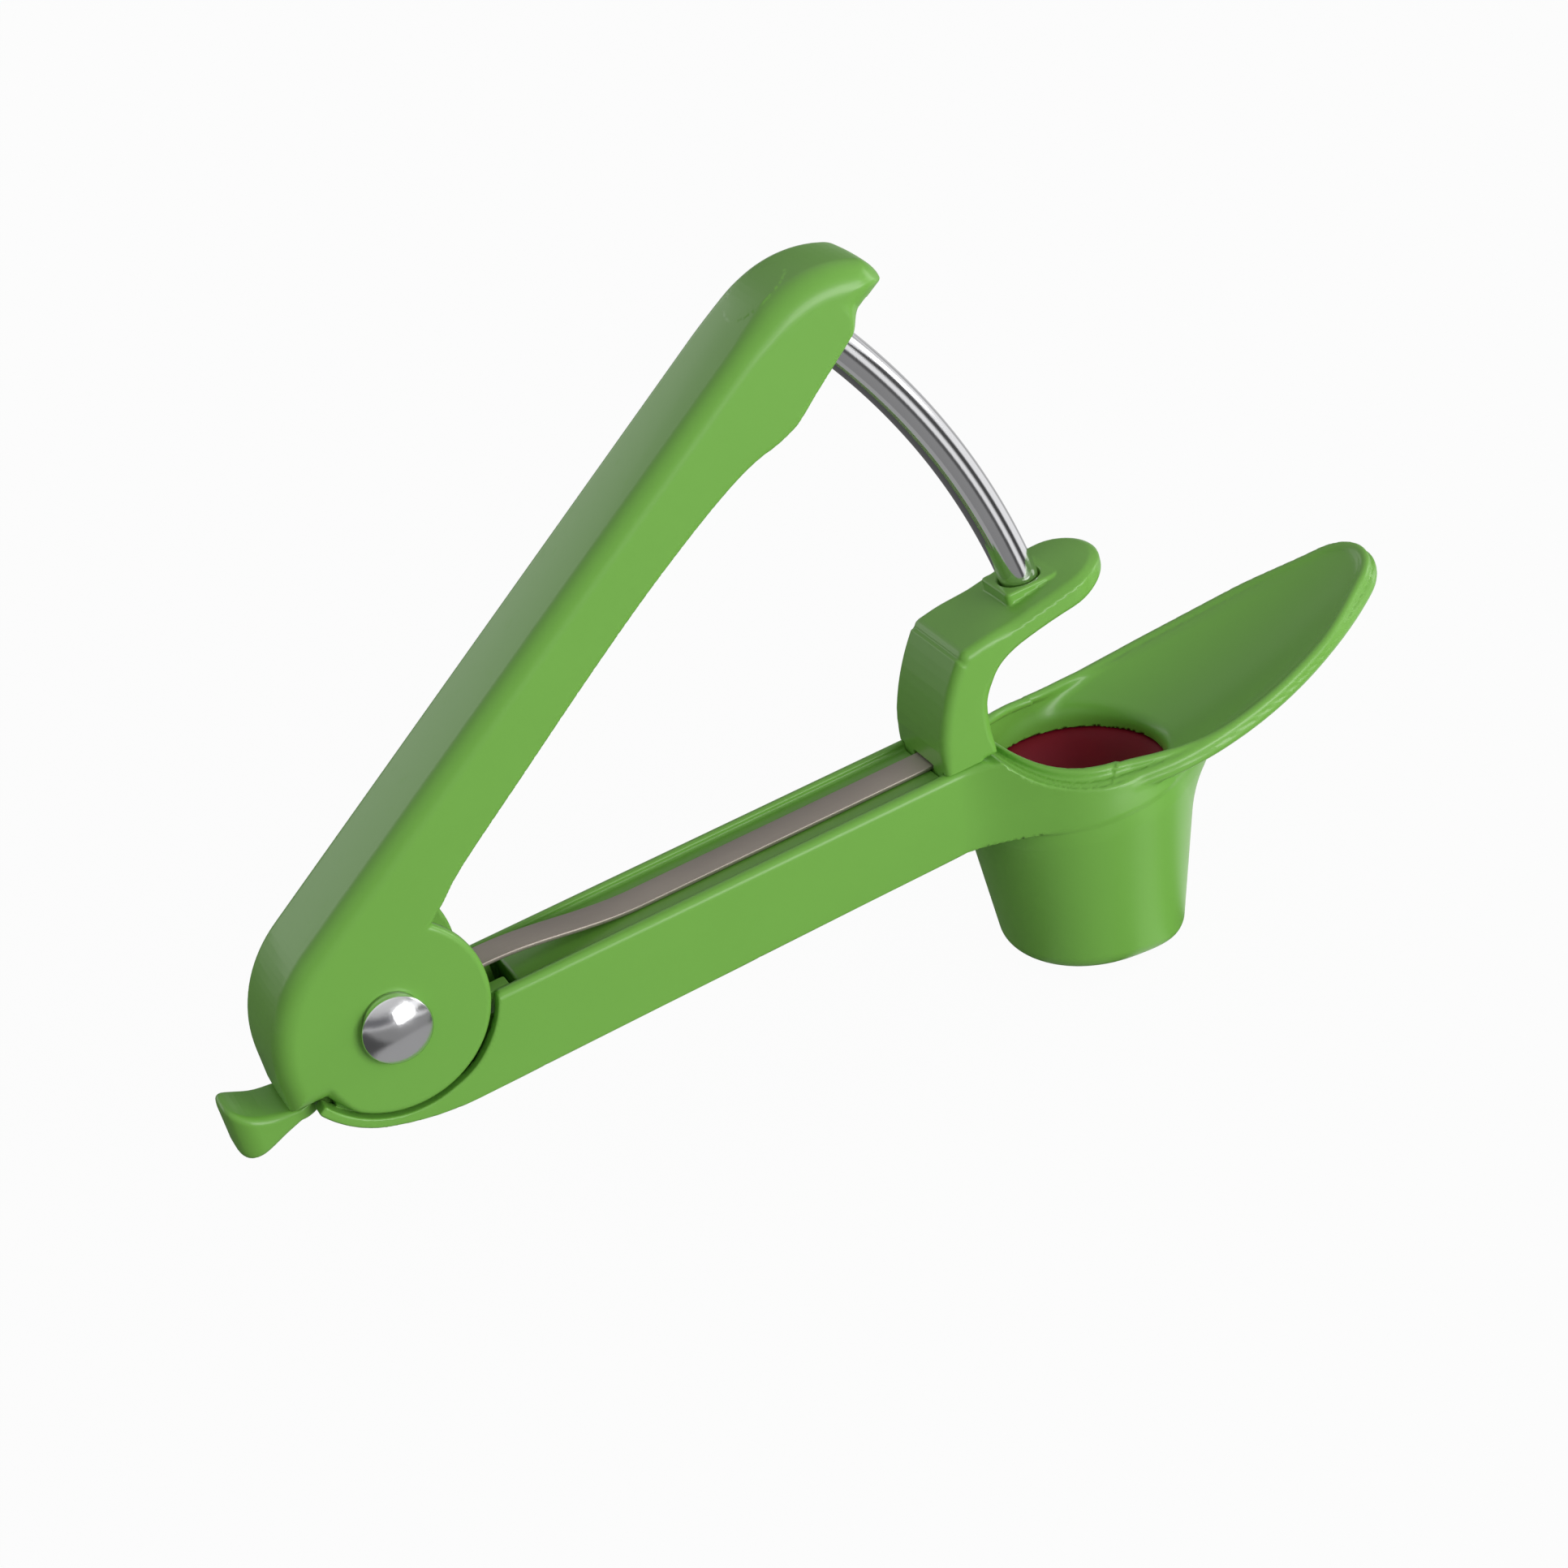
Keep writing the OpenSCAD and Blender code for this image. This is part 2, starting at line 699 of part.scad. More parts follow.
// Bar with two rounded corners at its end that trims the nose seen from above
module corner_trim() {
    start = -30;
    translate([0, 0, -60])
        linear_extrude(120) {
            translate([start, -half_w])
                square([nose_end-nose_corner-start, arm_w]);
            translate([start, -half_w+nose_corner])
                square([nose_end-start, arm_w-2*nose_corner]);
            for (s = [-1, 1])
                translate([nose_end-nose_corner, s*(half_w-nose_corner)])
                    circle(nose_corner, $fn = 48);
        }
}

module lever_solid() {
    side(arm_w)
        circle(cheek_r, $fn = 180);
    // Behind the pivot, down to the level lower end
    intersection() {
        start_a = 90+open_a-back_fall;
        side(arm_w)
            polygon([[0, 0], 40*[cos(start_a), sin(start_a)], [-40, 30], [-40, wrap_low], [-8, wrap_low]]);
        rear_back();
    }
    rotate([0, -open_a, 0])
        intersection() {
            side(arm_w)
                lever_outline();
            front_back();
            corner_trim();
        }
}

module lever() {
    boss_a = open_a+2.2;
    color(green)
        translate(pivot) {
            difference() {
                union() {
                    difference() {
                        lever_solid();
                        side(arm_w-2*lever_wall)
                            lever_hollow_outline();
                    }
                    // Boss in the nose round the punch's root
                    intersection() {
                        punch_path(punch_r+boss_wall, boss_a, root_a+2.5);
                        lever_solid();
                    }
                }
                side(arm_w+2)
                    circle(pin_r+pin_fit);
                punch_path(punch_r, 0, root_a);
            }
            // Catches on the cheeks' inner faces for the lock's hooks
            for (s = [-1, 1])
                translate([0, s*(catch_in+half_w-lever_wall)/2, 0])
                    side(half_w-lever_wall-catch_in+e)
                        sector(catch_r0, catch_r1, catch_a0, catch_a1);
        }
}

module punch_rod() {
    color(chrome)
        translate(pivot)
            punch_path(punch_r, tip_a, root_a);
}

// Side outline of the pull tab and the neck
module tab_outline() {
    flare_l = 8;
    end_r = 2;
    waist = -tab_end+end_r+flare_l;
    flare_h = (tab_h-neck_t)/2;
    high = -neck_top+flare_h;
    low = -neck_bottom-flare_h;
    n = 10;
    polygon(concat(
        [[block_x0+1, -neck_bottom], [block_x0+1, -neck_top]],
        [for (i = [0:n]) let (t = i/n) [waist-flare_l*t, -neck_top+flare_h*(1-cos(90*t))]],
        arc_points([-tab_end+end_r, high-end_r], end_r, 90, 180, 6),
        arc_points([-tab_end+end_r, low+end_r], end_r, 180, 270, 6),
        [for (i = [n:-1:0]) let (t = i/n) [waist-flare_l*t, -neck_bottom-flare_h*(1-cos(90*t))]]));
}

module lock_slider() {
    block_low = sqrt(pow(lip_in, 2)-pow(well_x0, 2))-lock_fit;
    bar_half = ear_in-lock_fit;
    hook_in = bar_half-0.6;
    hook_out = half_w-lever_wall-hook_gap;
    corner = 3.4;
    color(green)
        translate(pivot) {
            intersection() {
                side(tab_w)
                    tab_outline();
                union() {
                    translate([-tab_end+corner, -tab_w/2, -30])
                        cube([tab_end-corner-neck_wide, tab_w, 40]);
                    translate([-tab_end, -tab_w/2+corner, -30])
                        cube([tab_end, tab_w-2*corner, 40]);
                    translate([-neck_wide-1, -bar_half, -30])
                        cube([30, 2*bar_half, 40]);
                    for (s = [-1, 1])
                        translate([-tab_end+corner, s*(tab_w/2-corner), -30])
                            cylinder(h = 40, r = corner);
                }
            }
            // Block that runs on the arm's floor between the ears
            translate([block_x0, -bar_half, -block_low])
                cube([block_end-block_x0, 2*bar_half, block_low-neck_top]);
            // Two hooks in front of the ears
            for (s = [-1, 1])
                translate([0, s*(hook_in+hook_out)/2, 0])
                    side(hook_out-hook_in)
                        polygon([[hook_x+hook_l, -block_low], [block_end, -block_low],
                            [block_end, hook_z+hook_t], [hook_x, hook_z+hook_t], [hook_x, hook_z],
                            [hook_x+hook_l, hook_z]]);
        }
}

lower_arm();
guide_post();
cup_insert();
return_spring();
pivot_rivet();
rivet_cap();
lever();
punch_rod();
lock_slider();
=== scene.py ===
"""Hand-held cherry pitter: moulded pieces, their finishes and a plain studio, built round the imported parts."""

import json
import math

import bmesh
import bpy
import numpy as np
from mathutils import Matrix, Vector


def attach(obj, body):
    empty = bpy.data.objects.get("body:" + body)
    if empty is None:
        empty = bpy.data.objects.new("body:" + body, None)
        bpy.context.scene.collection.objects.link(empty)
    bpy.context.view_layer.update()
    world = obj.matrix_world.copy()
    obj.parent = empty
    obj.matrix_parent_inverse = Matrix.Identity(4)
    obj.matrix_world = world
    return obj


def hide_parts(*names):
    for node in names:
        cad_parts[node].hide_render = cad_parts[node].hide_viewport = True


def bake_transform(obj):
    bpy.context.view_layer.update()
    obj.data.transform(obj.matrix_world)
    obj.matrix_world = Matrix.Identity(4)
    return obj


bl_info = {
    "name": "Cherry Pitter",
    "version": (1, 0, 0),
    "blender": (4, 5, 0),
    "location": "3D View > Sidebar > Cherry Pitter",
    "description": "Builds a hand-held cherry pitter and its studio",
    "category": "Add Mesh",
}

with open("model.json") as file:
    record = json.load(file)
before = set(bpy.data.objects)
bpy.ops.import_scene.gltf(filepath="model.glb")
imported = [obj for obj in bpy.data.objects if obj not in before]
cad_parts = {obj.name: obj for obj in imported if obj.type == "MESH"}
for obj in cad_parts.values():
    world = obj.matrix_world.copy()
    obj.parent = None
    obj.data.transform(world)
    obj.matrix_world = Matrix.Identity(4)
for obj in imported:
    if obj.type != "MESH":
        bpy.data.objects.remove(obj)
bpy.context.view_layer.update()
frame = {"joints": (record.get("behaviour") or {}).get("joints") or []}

# Shapes are worked out in millimetres about the pivot axis, with x along the arm and z up.
MM = 0.001
PIVOT = Vector(next(j for j in frame["joints"] if j["name"] == "lever_pivot")["pos_m"])

# Arm: half widths outside and inside, its top, the well for the lock, the deck and the post's socket
ARM_HALF = 8.8
INNER_HALF = 6.8
ARM_TOP = -4.0
WELL_FLOOR = -16.6
WELL_START = 4.2
WELL_END = 20.0
DECK_Z = -5.1
DECK_T = 2.0
POST_X = 93.4
SOCKET_END = 100.2
# Pivot: the lever's round cheeks, the arm's lip and inner ears round them, the pin and its heads
CHEEK_R = 15.6
LIP_IN = 16.2
LIP_OUT = 17.8
LIP_TURN = 249.8
EAR_R = 10.2
PIN_R = 2.5
HEAD_R = 5.5
HEAD_H = 2.1
HEAD_STAND = 1.3
HEAD_DROP = 1.1
# Spring: height of its lower leg and of the bow near the pin
LEG_Z = -4.6
BOW_Z = -1.9
# Lever at rest, and the punch, bent round the pivot
OPEN_A = math.radians(34.5)
PUNCH_ARC = 117.9
PUNCH_R = 3.05
# Cup: foot, lean, radius at the foot and its growth upwards, walls, outlet, mouth, and the insert's seat
CUP_X = 114.45
CUP_Z = -47.2
CUP_LEAN = math.radians(6.9)
CUP_R = 14.6
CUP_GROW = 4.4 / 28
CUP_WALL = 1.8
LEDGE_WALL = 3.1
OUTLET_R = 9.0
MOUTH_R = 17.4
OPENING_R = 14.4
SEAT_R = 17.2
SEAT_H = 27.5
SEAT_HALF = 0.85
# Scoop: outline seen from above, the two curves of its floor, and the beads of the rim
SCOOP_MID = 130.0
SIDE_ARC = 90.0
SCOOP_HALF = 19.0
TIP_R = 9.71
TIP_X = 167.49
FLOOR_MID = (113.7, 110.2)
FLOOR_LONG = 97.0
FLOOR_ACROSS = 32.0
BEAD_R = 0.95
INNER_BEAD_R = 0.85
BEAD_INSET = 1.25
# Guide plate and its collar
PLATE_HALF = 8.7
PLATE_TIP_X = 121.0
COLLAR_X = 116.5
# Slider: back end of its tab, and the half width of its neck and block
TAB_END = -27.8
NECK_HALF = 4.3


# ---- Distances: every shape is a distance in millimetres, negative inside ----

def round_max(a, b, r):
    """Where two shapes overlap, with their shared edge rounded."""
    return np.minimum(np.maximum(a + r, b + r), 0) + np.hypot(np.maximum(a + r, 0), np.maximum(b + r, 0)) - r


def round_min(a, b, r):
    """Two shapes as one, with a round fillet in the corner between them."""
    return -round_max(-a, -b, r)


def soft_min(a, b, k):
    """Two shapes as one, flowing into each other over a width k."""
    h = np.clip(0.5 + 0.5 * (b - a) / k, 0, 1)
    return b + (a - b) * h - k * h * (1 - h)


def soft_max(a, b, k):
    """Where two shapes overlap, flowing into each other over a width k."""
    return -soft_min(-a, -b, k)


def ease(t):
    """Smooth step from 0 to 1."""
    t = np.clip(t, 0, 1)
    return t * t * (3 - 2 * t)


def outline_distance(x, z, points):
    """Distance from (x, z) to a closed outline."""
    best, inside = np.inf, False
    for (ax, az), (bx, bz) in zip(points, points[1:] + points[:1]):
        ex, ez = bx - ax, bz - az
        wx, wz = x - ax, z - az
        t = np.clip((wx * ex + wz * ez) / (ex * ex + ez * ez), 0, 1)
        best = np.minimum(best, (wx - ex * t) ** 2 + (wz - ez * t) ** 2)
        if ez:
            inside = inside ^ (((az > z) != (bz > z)) & (x < ax + (z - az) * ex / ez))
    return np.where(inside, -1, 1) * np.sqrt(best)


def arc(cx, cz, r, a0, a1, n):
    """Points on an arc, with its angles in degrees."""
    return [(cx + r * math.cos(a), cz + r * math.sin(a)) for a in np.radians(np.linspace(a0, a1, n + 1))]


def flowing(points, n=5):
    """A smooth run through a few points."""
    p = np.array([points[0]] + list(points) + [points[-1]], float)
    out = []
    for i in range(1, len(p) - 2):
        for t in np.arange(n) / n:
            a, b, c, d = p[i - 1], p[i], p[i + 1], p[i + 2]
            bend, twist = 2 * a - 5 * b + 4 * c - d, 3 * b - a - 3 * c + d
            q = 0.5 * (2 * b + (c - a) * t + bend * t * t + twist * t ** 3)
            out.append((float(q[0]), float(q[1])))
    return out + [tuple(map(float, p[-1]))]


def turned_point(p, angle):
    """A point turned about the pivot."""
    c, s = math.cos(angle), math.sin(angle)
    return p[0] * c - p[1] * s, p[0] * s + p[1] * c


# ---- Meshes ----

def skin(name, field, low, high, step):
    """Smooth mesh of the surface where a distance field is zero: a net over the grid cells that the surface
    crosses, with its points then moved onto the surface and its normals taken from the field."""
    axes = [np.arange(a, b + step, step, dtype=np.float32) for a, b in zip(low, high)]
    size = tuple(len(a) for a in axes)
    x, y, z = axes[0][:, None, None], axes[1][None, :, None], axes[2][None, None, :]
    f = np.ascontiguousarray(np.broadcast_to(field(x, y, z), size)).astype(np.float32)
    inside = f < 0
    corners = [(i, j, k) for i in (0, 1) for j in (0, 1) for k in (0, 1)]
    count = 0
    for corner in corners:
        count = count + inside[tuple(slice(c, n - 1 + c) for c, n in zip(corner, size))].astype(np.int8)
    mixed = (count > 0) & (count < 8)
    cells = np.argwhere(mixed)
    index = np.full(mixed.shape, -1, np.int64)
    index[mixed] = np.arange(len(cells))
    total, crossings = np.zeros((len(cells), 3)), np.zeros((len(cells), 1))
    for a in corners:
        for axis in range(3):
            if a[axis]:
                continue
            b = list(a)
            b[axis] = 1
            fa = f[tuple((cells + a).T)]
            fb = f[tuple((cells + b).T)]
            hit = (fa < 0) != (fb < 0)
            t = np.where(hit, fa / np.where(hit, fa - fb, 1), 0)[:, None]
            total += hit[:, None] * (np.array(a) + (np.array(b) - a) * t)
            crossings += hit[:, None]
    points = np.array(low, float) + step * (cells + total / crossings)
    quads = []
    for axis in range(3):
        u, v = (axis + 1) % 3, (axis + 2) % 3
        first = [slice(1, -1)] * 3
        second = [slice(1, -1)] * 3
        first[axis], second[axis] = slice(0, -1), slice(1, None)
        here = inside[tuple(first)]
        change = np.argwhere(here != inside[tuple(second)])
        flip = here[tuple(change.T)]
        base = change.copy()
        base[:, u] += 1
        base[:, v] += 1
        around = []
        for du, dv in ((-1, -1), (0, -1), (0, 0), (-1, 0)):
            c = base.copy()
            c[:, u] += du
            c[:, v] += dv
            around.append(index[tuple(c.T)])
        around = np.array(around).T
        quads.append(np.where(flip[:, None], around, around[:, ::-1]))
    quads = np.concatenate(quads)

    def slope(p):
        h = 0.03
        return np.array([field(*(p + d).T) - field(*(p - d).T) for d in np.eye(3) * h]).T / (2 * h)

    for _ in range(3):
        g = slope(points)
        move = field(*points.T)[:, None] * g / np.maximum((g ** 2).sum(1, keepdims=True), 0.2)
        length = np.linalg.norm(move, axis=1, keepdims=True)
        points -= move * np.minimum(1, 0.6 * step / np.maximum(length, 1e-9))
    g = slope(points)
    normals = g / np.maximum(np.linalg.norm(g, axis=1, keepdims=True), 1e-9)
    return new_mesh(name, points, quads, normals)


def new_mesh(name, points, faces, normals=None):
    """Mesh object from points in millimetres about the pivot."""
    mesh = bpy.data.meshes.new(name)
    mesh.from_pydata((np.asarray(points) * MM + np.array(PIVOT)).tolist(), [], np.asarray(faces).tolist())
    mesh.validate()
    mesh.shade_smooth()
    if normals is not None and len(mesh.vertices) == len(normals):
        mesh.normals_split_custom_set_from_vertices(normals.tolist())
    piece = bpy.data.objects.new(name, mesh)
    bpy.context.scene.collection.objects.link(piece)
    return piece


def grid_faces(rows, columns, closed_rows=False, closed_columns=True):
    """Quads of a grid of points, row by row, that may close on itself either way."""
    faces = []
    for i in range(rows if closed_rows else rows - 1):
        for j in range(columns if closed_columns else columns - 1):
            a, b = i * columns, (i + 1) % rows * columns
            faces.append((a + j, a + (j + 1) % columns, b + (j + 1) % columns, b + j))
    return faces


def swept(name, centres, across, section):
    """A closed section, given as (outward, sideways) offsets, carried along a path in the side plane.
    Across gives the outward direction at each point. The ends are closed."""
    points = []
    for c, o in zip(centres, across):
        for out, side in section:
            points.append((c[0] + o[0] * out, side, c[1] + o[1] * out))
    n = len(section)
    faces = grid_faces(len(centres), n)
    piece = new_mesh(name, points, faces)
    mesh = piece.data
    last = (len(centres) - 1) * n
    bm = bmesh.new()
    bm.from_mesh(mesh)
    bm.verts.ensure_lookup_table()
    bm.faces.new([bm.verts[i] for i in reversed(range(n))])
    bm.faces.new([bm.verts[last + i] for i in range(n)])
    bmesh.ops.recalc_face_normals(bm, faces=bm.faces)
    bm.to_mesh(mesh)
    bm.free()
    mesh.shade_smooth()
    return piece


def lathed(name, profile, n, place):
    """A profile of (radius, height) points turned about an axis. Place maps the two directions across the axis
    and the height to space."""
    points = []
    for r, h in profile:
        for a in np.arange(n) * 2 * math.pi / n:
            points.append(place(r * math.cos(a), r * math.sin(a), h))
    piece = new_mesh(name, points, grid_faces(len(profile), n))
    bm = bmesh.new()
    bm.from_mesh(piece.data)
    bmesh.ops.remove_doubles(bm, verts=bm.verts, dist=1e-7)
    bmesh.ops.recalc_face_normals(bm, faces=bm.faces)
    bm.to_mesh(piece.data)
    bm.free()
    piece.data.shade_smooth()
    return piece


# ---- Shapes of the moulded pieces ----

def cup_place(x, z):
    """Along and across the cup's leaning axis."""
    dx, dz = x - CUP_X, z - CUP_Z
    c, s = math.cos(CUP_LEAN), math.sin(CUP_LEAN)
    return dx * s + dz * c, dx * c - dz * s


def rim_height(x):
    """Height of the rim along the cup and the scoop, with the fall from the arm's top."""
    lowest, lowest_x, curve = -12.8, 123, 144
    rise = lowest + curve - np.sqrt(curve ** 2 - (np.clip(x, 100, 190) - lowest_x) ** 2)
    fall = 1 - np.exp(-np.maximum(x - 102, 0) / 4.5)
    return ARM_TOP + 3 * (1 - ease((x - 97) / 4)) + (rise - ARM_TOP) * fall


def scoop_plan(x, w):
    """Distance to the scoop's outline seen from above."""
    inward = SIDE_ARC - SCOOP_HALF
    side = np.hypot(x - SCOOP_MID, w + inward) - SIDE_ARC
    tip = np.hypot(x - TIP_X, w) - TIP_R
    beyond = (x - SCOOP_MID) * inward - (w + inward) * (TIP_X - SCOOP_MID) > 0
    # Straight run that leaves the cup's round mouth
    run = -0.2018 * (x - 115.3) + 0.9794 * (w - 17.04)
    return soft_max(np.where(beyond, tip, side), run, 1.0)


def floor_distance(x, w, z, thick):
    """Distance to the scoop's floor, curved along and across, or to a surface below it."""
    radial = np.hypot(x - FLOOR_MID[0], z - FLOOR_MID[1])
    return np.hypot(radial - FLOOR_LONG, w) - FLOOR_ACROSS - thick


def mouth_middle(z):
    """Where the cup's leaning axis passes at a height."""
    return CUP_X + (z - CUP_Z) * math.tan(CUP_LEAN)


def band_plan(x, w, z):
    """Distance to the arm's sides flowing round the cup, seen from above."""
    t = np.clip((-12.0 - z) / 7, 0, 1.3)
    circle = np.hypot(x - mouth_middle(z), w) - (MOUTH_R + 1.6 * t ** 1.2)
    strip = np.maximum(w - ARM_HALF, x - 119)
    return round_min(strip, circle, 9), circle


ARM_SIDE = (
    [(150.0, ARM_TOP), (0.0, ARM_TOP), (0.0, 0.0)]
    + arc(0, 0, LIP_OUT, 212, LIP_TURN, 12)
    + arc(7.866, 21.4, LIP_OUT + 22.75, LIP_TURN, 270, 8)[1:]
    + [(93.0, -18.0), (150.0, -17.4)]
)
# Well for the lock, shallow trough for the spring, and socket for the guide post
TOP_CUT = [(WELL_START, WELL_FLOOR), (WELL_END, WELL_FLOOR), (WELL_END, DECK_Z), (POST_X, DECK_Z),
           (POST_X, WELL_FLOOR), (SOCKET_END, WELL_FLOOR), (SOCKET_END, 20.0), (WELL_START, 20.0)]
# Hollow under the deck, open below
UNDER_CUT = [(WELL_END + 2, -30.0), (POST_X - 2, -30.0), (POST_X - 2, DECK_Z - DECK_T),
             (WELL_END + 2, DECK_Z - DECK_T)]
# Foot of the inner ears that carry the pin
EAR_FOOT = [(-EAR_R, 0.0)] + arc(0, 0, LIP_IN + 0.01, 222, 269, 10) + [(0.0, -16.7), (7.0, -16.7), (7.0, 0.0)]


def arm_field(x, y, z):
    """Distance to the lower arm with its cup and scoop."""
    w = np.abs(y)
    around = np.hypot(x, z)
    plan, circle = band_plan(x, w, z)
    side = outline_distance(x, z, ARM_SIDE)
    upper = round_max(side, plan, 0.4 + 0.9 * ease((z + 13) / 6) * ease((x - 8) / 8))
    h, s = cup_place(x, z)
    rho = np.hypot(s, w)
    cone = (rho - CUP_R - CUP_GROW * h - 0.45 * ease(-s / 12)) * 0.988
    cone = round_max(cone, -h, 3.0 - 1.8 * ease(s / 10))
    cup = soft_max(cone, circle, 1.6)
    body = round_min(upper, cup, 0.9)
    outline = scoop_plan(x, w)
    rim = rim_height(x)
    shell = round_max(np.maximum(outline + 0.35, 115.0 - x), floor_distance(x, w, z, 2.2), 0.8)
    k = 0.4 + 9.5 * ease((-15.2 - z) / 4) * (1 - 0.8 * ease((w - 10) / 7))
    body = soft_min(body, shell, k)
    # Two beads run along the rim, and round the cup's mouth its inner edge stands higher
    ring = np.hypot(x - mouth_middle(z), w)
    mouthward = 1 - ease((x - 118) / 24)
    past_mouth = x > 119
    edge = soft_min(np.where(past_mouth, outline, np.maximum(outline, 116 - x)),
                    np.where(past_mouth, plan, ring - MOUTH_R), 0.6)
    tipward = ease((x - 158) / 14)
    start = 0.5 * np.maximum(101.0 - x, 0)
    low_bead = np.hypot(edge + BEAD_R + 0.6 * tipward, (z - rim + 2.0 + 0.9 * tipward) * 0.95) - BEAD_R + start
    body = soft_min(body, low_bead, 0.5)
    # Rim cut, then the rounded upper beads
    inner_rise = 0.05 + 1.8 * (1 - ease((x - 114) / 24))
    slant = 1.5 * tipward * ease((edge + 2.6) / 2) - inner_rise * ease((-edge - 0.9) / 1.9)
    body = round_max(body, z - rim + 0.5 + slant, 0.5)
    high_bead = np.hypot(edge + BEAD_INSET + 1.1 * tipward, z - rim + BEAD_R) - BEAD_R + start
    inner_bead = np.hypot(edge + BEAD_INSET + 1.55 * mouthward + 1.3 * tipward, z - rim + 0.9 - inner_rise)
    inner_bead = inner_bead - INNER_BEAD_R + start
    # Hollow of the scoop and of the mouth, the pocket that holds the insert, the cup's inside and its outlet
    inset = np.minimum(np.maximum(outline + 2.25 + 1.2 * mouthward + tipward, 113 - x), ring - OPENING_R)
    hollow = round_max(inset, floor_distance(x, w, z, 0), 1.2)
    hollow = soft_min(hollow, np.maximum(rho - OPENING_R, 28.4 - h), 2.0)
    pocket = np.maximum(rho - SEAT_R, np.abs(h - (SEAT_H + SEAT_HALF)) - SEAT_HALF)
    cone_r = CUP_R + CUP_GROW * h
    well = np.maximum(rho - np.where(h > 26.5, cone_r - LEDGE_WALL, cone_r - CUP_WALL), 2.0 - h)
    well = np.maximum(well, h - 28.5)
    outlet = np.maximum(rho - OUTLET_R, h - 4)
    hollow = np.minimum(np.minimum(hollow, pocket), np.minimum(well, outlet))
    body = round_max(body, -hollow, 0.5)
    beads = np.maximum(soft_min(high_bead, inner_bead, 0.4), 100 - x)
    body = soft_min(body, beads, 0.35)
    top_cut = round_max(outline_distance(x, z, TOP_CUT), w - INNER_HALF, 0.5)
    body = round_max(body, -top_cut, 0.35)
    under_cut = round_max(outline_distance(x, z, UNDER_CUT), w - INNER_HALF, 0.6)
    body = round_max(body, -under_cut, 0.3)
    # Room for the lever's round cheeks, and the slot for the lock's neck
    body = round_max(body, LIP_IN + 0.3 * ease((x - 4) / 6) - around, 0.3)
    slot = np.maximum(np.maximum(w - (NECK_HALF + 1), x + 10.93), -11.5 - z)
    body = round_max(body, -slot, 0.3)
    # Inner ears that carry the pin
    ear = np.minimum(around - EAR_R, outline_distance(x, z, EAR_FOOT))
    ear = np.maximum(ear, -np.maximum(np.maximum(x + EAR_R, -9.3 - z), z - 10))
    ear = round_max(ear, np.abs(w - 5.55) - 0.95, 0.25)
    ear = np.maximum(ear, PIN_R - around)
    return np.minimum(body, ear)


# Lever outline. Its straight back falls gently to the nose. The arch of the nose is placed in the lever's own
# frame, and the low edge is given as distances behind the nose's end and above the lever's middle line.
ARCH_U = 113.5
ARCH_V = -2.8
ARCH_R = 19.0
BACK_TOP = 17.1
BACK_DROP = 0.9
BACK_FALL = math.degrees(math.atan2(BACK_DROP, ARCH_U))
BACK_MID = (2.9, -3.2)
BACK_R = 21.5
BACK_END = BACK_MID[0] - BACK_R
CHIN_A = 33.0
NOSE_END = 129.86
WALL = 2.0
WRAP_C = turned_point((0.23, -4.75), OPEN_A)
WRAP_IN = 19.85
LOW_EDGE = [(6, 2.85), (12, 2.45), (19, 2.0), (24, 1.55), (26, 1.7), (29, 2.4), (32, 3.5), (36, 4.4),
            (42, 5.1), (50, 5.6), (60, 5.9), (74, 5.8), (90, 5.4), (105, 5.0), (111, 4.1), (116, 3.4)]
BACK_LINE = (
    [(BACK_END, -8.4)]
    + arc(BACK_MID[0], BACK_MID[1], BACK_R, 180, 124.5 - BACK_FALL, 18)
    + [turned_point(p, OPEN_A) for p in arc(ARCH_U, ARCH_V, ARCH_R, 90 - BACK_FALL, CHIN_A, 16)]
)
LEVER_SIDE = (
    BACK_LINE
    + [turned_point(p, OPEN_A) for p in arc(NOSE_END - 3.95, 5.26, 4.2, CHIN_A, -39, 8)[1:]]
    + [turned_point((NOSE_END - u, v), OPEN_A) for u, v in flowing(LOW_EDGE, 3)]
    + [(0.0, 0.0), (-8.0, -8.4)]
)
BACK_CLOSED = BACK_LINE + [turned_point((128.0, -60.0), OPEN_A), (BACK_END, -60.0)]
HOLLOW_FRONT = [turned_point(p, OPEN_A) for p in
                [(0.4, 15.1)] + arc(ARCH_U, ARCH_V, ARCH_R - WALL, 90 - BACK_FALL, 48, 10)
                + [(125.4, 6.0), (125.4, -20.0), (0.4, -20.0)]]
HOLLOW_REAR = ([(0.0, 0.0)] + arc(WRAP_C[0], WRAP_C[1], WRAP_IN, 124, 180, 12)
               + [(WRAP_C[0] - WRAP_IN, -30.0), (0.0, -30.0)])


